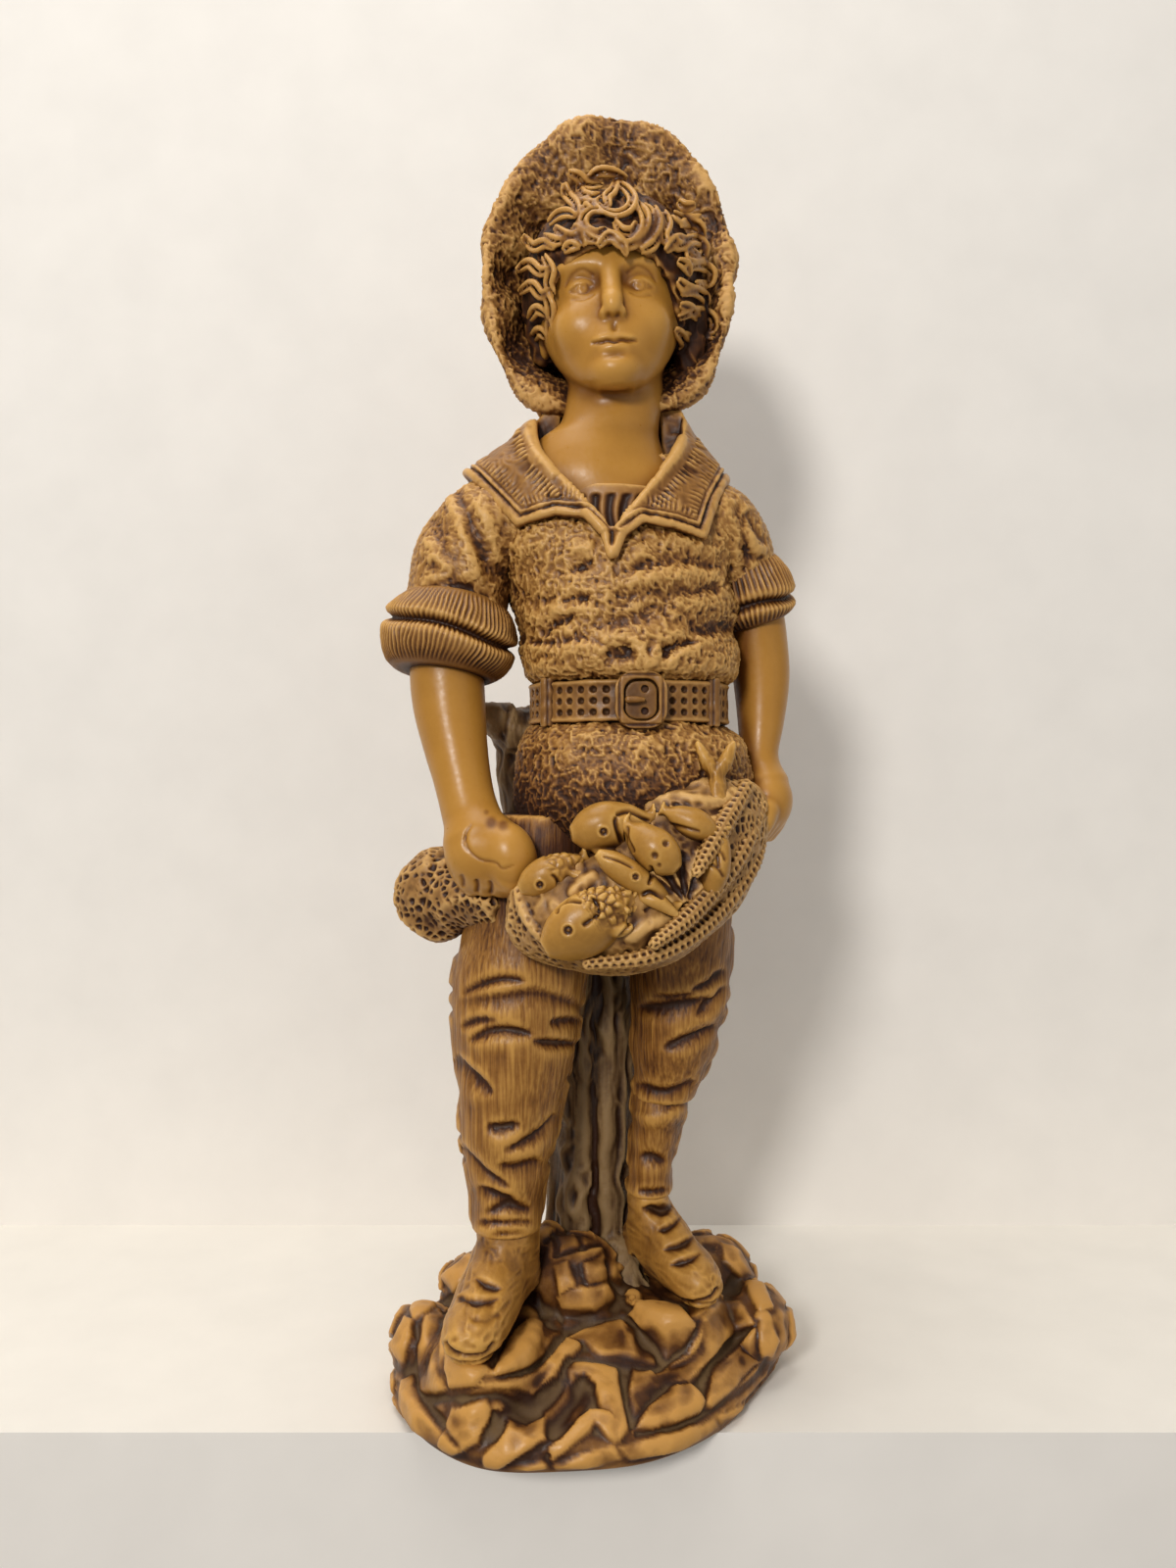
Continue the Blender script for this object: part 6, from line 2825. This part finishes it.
@dataclass(frozen=True)
class Net:
    """The net: its sling, its gathered rolls and the end over the boy's right fist."""

    HOLE_ROWS: int = 6
    HOLE_STEP: float = 1.75
    SLING: tuple = (
        (-19, -23, GRASP - 19, 3.6, 5), (-15, -22.5, GRASP - 19.5, 8, 9.5),
        (-4, -22, GRASP - 20.5, 12.5, 13), (8, -21.5, GRASP - 18.5, 14, 16.5),
        (20, -19, GRASP - 11, 12.5, 17.6), (31, -15, GRASP - 1.5, 9.4, 15.4),
        (39.5, -9, GRASP + 5, 5.6, 9), (42.6, -6.5, GRASP + 7.5, 3, 4.5),
    )
    ROLLS: tuple = (
        ((38.4, -17, GRASP + 10), (33.2, -24.5, GRASP + 3), (29.2, -29.5, GRASP - 3), (25, -34, GRASP - 9.5)),
        ((42.6, -12, GRASP + 5), (36.6, -21, GRASP - 5.6), (29.2, -28.5, GRASP - 14),
         (22.4, -33.5, GRASP - 20.3), (15, -37, GRASP - 25.6)),
        ((43.6, -8.5, GRASP + 0.4), (40, -15.5, GRASP - 8.6), (32.4, -23.5, GRASP - 17.8),
         (24.2, -29.5, GRASP - 24.4), (14, -33.5, GRASP - 28.8), (0, -34, GRASP - 30.6)),
    )
    BED: tuple[Stroke, ...] = strokes(
        on_net,
        ((1.2, 1.0, 0, 5), 690, 304, 740, 282, 800, 268, 870, 280, 930, 286, 1000, 252),
        ((1.0, 1.1, 0, 5), 282, 560, 300, 640, 330, 690, 370, 730, 440, 762),
        ((1.3, 1.2, 0, 1.4), 700, 600, 760, 590, 812, 650),
        ((1.5, 1.4, 0, 1.4), 632, 736, 700, 690, 804, 646),
        ((1.3, 1.3, 0, 1.4), 450, 590, 490, 556, 542, 512),
        ((2.0, 1.4, 0, 2), 400, 520, 440, 500, 492, 474),
        ((0.65, 1.0), 828, 612, 806, 550, 770, 470),
        ((0.65, 1.0), 832, 608, 840, 540, 872, 430),
        ((0.65, 1.0), 838, 612, 870, 570, 912, 520),
        ((0.7, 1.0), 824, 618, 780, 560, 712, 506),
        ((0.5, -0.9), 830, 606, 824, 540, 820, 440),
        ((0.5, -0.9), 838, 600, 860, 530, 900, 460),
        ((0.5, -0.9), 820, 606, 784, 540, 744, 490),
        ((0.6, -0.8), 840, 622, 880, 600, 924, 570),
        ((0.6, -0.9), 690, 640, 740, 620, 790, 650),
        ((0.6, 0.8), 700, 320, 760, 330, 820, 300),
        ((0.6, 0.8), 780, 300, 830, 330, 870, 350),
        ((0.6, 0.9), 880, 350, 930, 340, 980, 300),
    )
    RIM: tuple[Stroke, ...] = strokes(
        on_net,
        ((3.6, 1.0, 0, 8), 250, 540, 268, 640, 330, 730, 420, 800, 540, 830, 660, 800),
        ((3.0, 1.0, 0, 8), 880, 470, 940, 400, 1010, 320),
    )

    @staticmethod
    def mesh(points: Array, size: float, seed: int) -> Array:
        """A knotted net's bumps and pits.

        Args:
            points: Points in mm.
            size: The meshes' size in mm.
            seed: Which net.

        Returns:
            Heights from about -0.7 to 0.4.
        """
        first, second, _ = cells(points, size, seed)
        cord = 1 - ease(second - first, 0.12 * size, 0.55 * size)
        return 1.1 * cord - 0.7 + 0.3 * (cloud(points, 0.6 * size, seed + 2) - 0.5)

    def _holes(self, surface: Surface, path: Sequence[Sequence[float]], number: int) -> Array:
        """Finds how high a roll stands by its rows of holes.

        Args:
            surface: The roll's surface.
            path: The roll's middle line.
            number: Which roll.

        Returns:
            The height of each point in mm.
        """
        length = np.linalg.norm(np.diff(np.asarray(path), axis=0), axis=1).sum()
        share, angle, _ = around(surface.points, [(*point, 1, 1) for point in path])
        row = np.round(angle / (2 * math.pi) * self.HOLE_ROWS)
        step = share * length / self.HOLE_STEP + 0.5 * (row % 2) + 0.25 * number
        step += 0.35 * (cloud(surface.points, 2.5, 154 + number) - 0.5)
        off = (step - np.round(step)) * self.HOLE_STEP
        aside = (angle / (2 * math.pi) * self.HOLE_ROWS - row) * 2 * math.pi * 2.35 / self.HOLE_ROWS
        hole = np.exp(-((off / 0.5) ** 2) - (aside / 0.68) ** 2)
        seam = np.exp(-(((np.abs(aside) - 1.2) / 0.3) ** 2))
        return 0.25 - 1.05 * hole - 0.25 * seam

    def make(self, shop: Shop) -> None:
        """Makes the net's pieces.

        Args:
            shop: Where pieces are made.
        """
        given = np.asarray(self.SLING)
        clay = Clay(given[:, :3].min(0) - 18, given[:, :3].max(0) + 18, 0.45)
        clay.add(clay.of(limb(self.SLING, sides=96, rings=100, facing=(0, 0, 1))))
        surface = clay.skin()
        bed = (surface.facing() > 0) * (1 - np.clip(surface.carve(self.RIM), 0, 1))
        bed *= ease(surface.points[:, 0], -18, -12) * (1 - ease(surface.points[:, 0], 30, 36))
        surface.push(surface.carve(self.BED))
        surface.push(1.2 * (cloud(surface.points, 7, 151) - 0.5))
        surface.push(0.62 * (1 - bed) * self.mesh(surface.points, 1.9, 152))
        surface.push(0.5 * bed * (ridges(surface.points, 2.4, 150) - 0.5))
        surface.stain = 0.16 * bed + 0.05
        shop.piece("net_bag", surface, NET, "net_sling")
        for number, path in enumerate(self.ROLLS, 1):
            given = np.asarray(path, float)
            clay = Clay(given.min(0) - 4, given.max(0) + 4, 0.33)
            radii = np.interp(np.linspace(0, 1, len(path)), (0, 0.15, 0.75, 1), (1.9, 2.4, 2.35, 1.3))
            clay.rod([(*point, r) for point, r in zip(path, radii)], smooth=8)
            surface = clay.skin()
            surface.push(self._holes(surface, path, number))
            shop.piece(f"net_band_{number}", surface, NET, f"net_roll_{number}")
        clay = Clay((HEAD_X - 58, -26, GRASP - 32), (HEAD_X - 22, 15, GRASP - 4), 0.42)
        clay.add(clay.ball((HEAD_X - 44, 2.5, GRASP - 18), (12.2, 10, 11.6), turning(-20, "y")))
        neck = [(HEAD_X - 40, -2, GRASP - 17, 8, 8), (HEAD_X - 32, -9, GRASP - 17, 7, 8),
                (HEAD_X - 27, -14, GRASP - 18, 5, 6)]
        clay.add(clay.of(limb(neck, facing=(0, 0, 1))), 3)
        surface = clay.skin()
        surface.push(2.0 * (ridges(surface.points, 8, 161) - 0.6))
        surface.relax(2)
        surface.push(0.8 * self.mesh(surface.points, 2.0, 162))
        surface.stain = 0.25 + 0.3 * (1 - ease(surface.points[:, 2], GRASP - 26, GRASP - 14))
        shop.piece("net_tuft", surface, NET, "net_end")


@dataclass(frozen=True)
class Studio:
    """The camera, the pale ledge and wall, and the soft light."""

    SENSOR: float = 36.0
    FRAME_HEIGHT: float = 1600.0
    LEDGE_FRONT: float = -25
    WALL: int = 106
    SIDE: int = 900
    WALL_SIDE: int = 1500
    BELOW: float = -500
    LAMP_COLOUR: tuple = (1.0, 0.98, 0.95)
    ROOM_COLOUR: tuple = (1.0, 0.99, 0.97)
    ROOM_LIGHT: float = 0.34

    def _sheet(self, name: str, corners: Sequence[Sequence[float]], colour: Colour, seed: float) -> None:
        """Adds a plaster sheet to the stage.

        Args:
            name: Its name.
            corners: Its corners in mm.
            colour: Its colour.
            seed: Varies its grain.
        """
        mesh = bpy.data.meshes.new(name)
        mesh.from_pydata([tuple(v * MM for v in corner) for corner in corners], [], [(0, 1, 2, 3)])
        sheet = bpy.data.objects.new(name, mesh)
        bpy.context.scene.collection.objects.link(sheet)
        material = bpy.data.materials.new(name + "_plaster")
        material.use_nodes = True
        tree = material.node_tree
        shader = tree.nodes["Principled BSDF"]
        place = tree.nodes.new("ShaderNodeTexCoord")
        noise = tree.nodes.new("ShaderNodeTexNoise")
        noise.inputs["Scale"].default_value = 40 + seed
        noise.inputs["Detail"].default_value = 5
        tree.links.new(place.outputs["Object"], noise.inputs["Vector"])
        blend = tree.nodes.new("ShaderNodeMix")
        blend.data_type = "RGBA"
        blend.inputs[6].default_value = (*(0.93 * c for c in colour), 1)
        blend.inputs[7].default_value = (*(min(1.0, 1.04 * c) for c in colour), 1)
        tree.links.new(noise.outputs[0], blend.inputs[0])
        tree.links.new(blend.outputs[2], shader.inputs["Base Color"])
        shader.inputs["Roughness"].default_value = 0.9
        shader.inputs["Specular IOR Level"].default_value = 0.1
        bump = tree.nodes.new("ShaderNodeBump")
        bump.inputs["Distance"].default_value = 0.0004
        bump.inputs["Strength"].default_value = 0.35
        tree.links.new(noise.outputs[0], bump.inputs["Height"])
        tree.links.new(bump.outputs[0], shader.inputs["Normal"])
        mesh.materials.append(material)

    def _lamp(self, name: str, place: Sequence[float], toward: Sequence[float], size: float,
              power: float) -> None:
        """Adds a round soft lamp.

        Args:
            name: Its name.
            place: Where it hangs in mm.
            toward: Where it points in mm.
            size: Its width in metres.
            power: Its power in watts.
        """
        data = bpy.data.lights.new(name, "AREA")
        data.shape = "DISK"
        data.size = size
        data.energy = power
        data.color = self.LAMP_COLOUR
        lamp = bpy.data.objects.new(name, data)
        lamp.location = Vector([v * MM for v in place])
        way = Vector([(b - a) * MM for a, b in zip(place, toward)])
        lamp.rotation_euler = way.to_track_quat("-Z", "Y").to_euler()
        bpy.context.scene.collection.objects.link(lamp)

    def make(self) -> None:
        """Sets the camera, the ledge, the wall and the lamps."""
        scene = bpy.context.scene
        data = bpy.data.cameras.new("front_camera")
        data.sensor_fit = "AUTO"
        data.sensor_width = self.SENSOR
        data.lens = self.SENSOR * FOCAL / self.FRAME_HEIGHT
        data.clip_start = 0.01
        camera = bpy.data.objects.new("front_camera", data)
        camera.location = Vector(EYE * MM)
        camera.rotation_euler = (math.radians(90), 0, 0)
        scene.collection.objects.link(camera)
        scene.camera = camera
        scene.view_settings.view_transform = "Standard"
        world = bpy.data.worlds.new("soft_room")
        world.use_nodes = True
        room = world.node_tree.nodes["Background"]
        room.inputs["Color"].default_value = (*self.ROOM_COLOUR, 1)
        room.inputs["Strength"].default_value = self.ROOM_LIGHT
        scene.world = world
        pale, front, wall = shade(240, 235, 226), shade(238, 232, 224), shade(238, 233, 226)
        near, far, side, low = self.LEDGE_FRONT, self.WALL, self.SIDE, self.BELOW
        corners = [(-side, near, 0), (side, near, 0), (side, far, 0), (-side, far, 0)]
        self._sheet("ledge_top", corners, pale, 1)
        edge = [(-side, near, low), (side, near, low), (side, near, 0), (-side, near, 0)]
        self._sheet("ledge_front", edge, front, 2)
        side, top = self.WALL_SIDE, self.WALL_SIDE
        corners = [(-side, far, low), (side, far, low), (side, far, top), (-side, far, top)]
        self._sheet("wall", corners, wall, 3)
        self._lamp("key", (-330, -920, 560), (0, 0, 150), 0.2, 6.0)
        self._lamp("top", (-160, -160, 980), (0, 30, 100), 0.6, 3.4)
        self._lamp("fill", (700, -700, 300), (0, 0, 150), 0.9, 0.6)


def main() -> None:
    """Builds every piece of the figurine and the studio."""
    shop = Shop()
    makers = (Rock(), Stump(), Boots(), Legs(), Blouse(), Belt(), Sleeves(), Arms(), Collar(), Head(), Hair(),
              Hat(), Catch(), Net())
    for maker in makers:
        maker.make(shop)
    Studio().make()


if __name__ == "__main__":
    logging.basicConfig(level=logging.INFO, format="%(message)s")
    main()
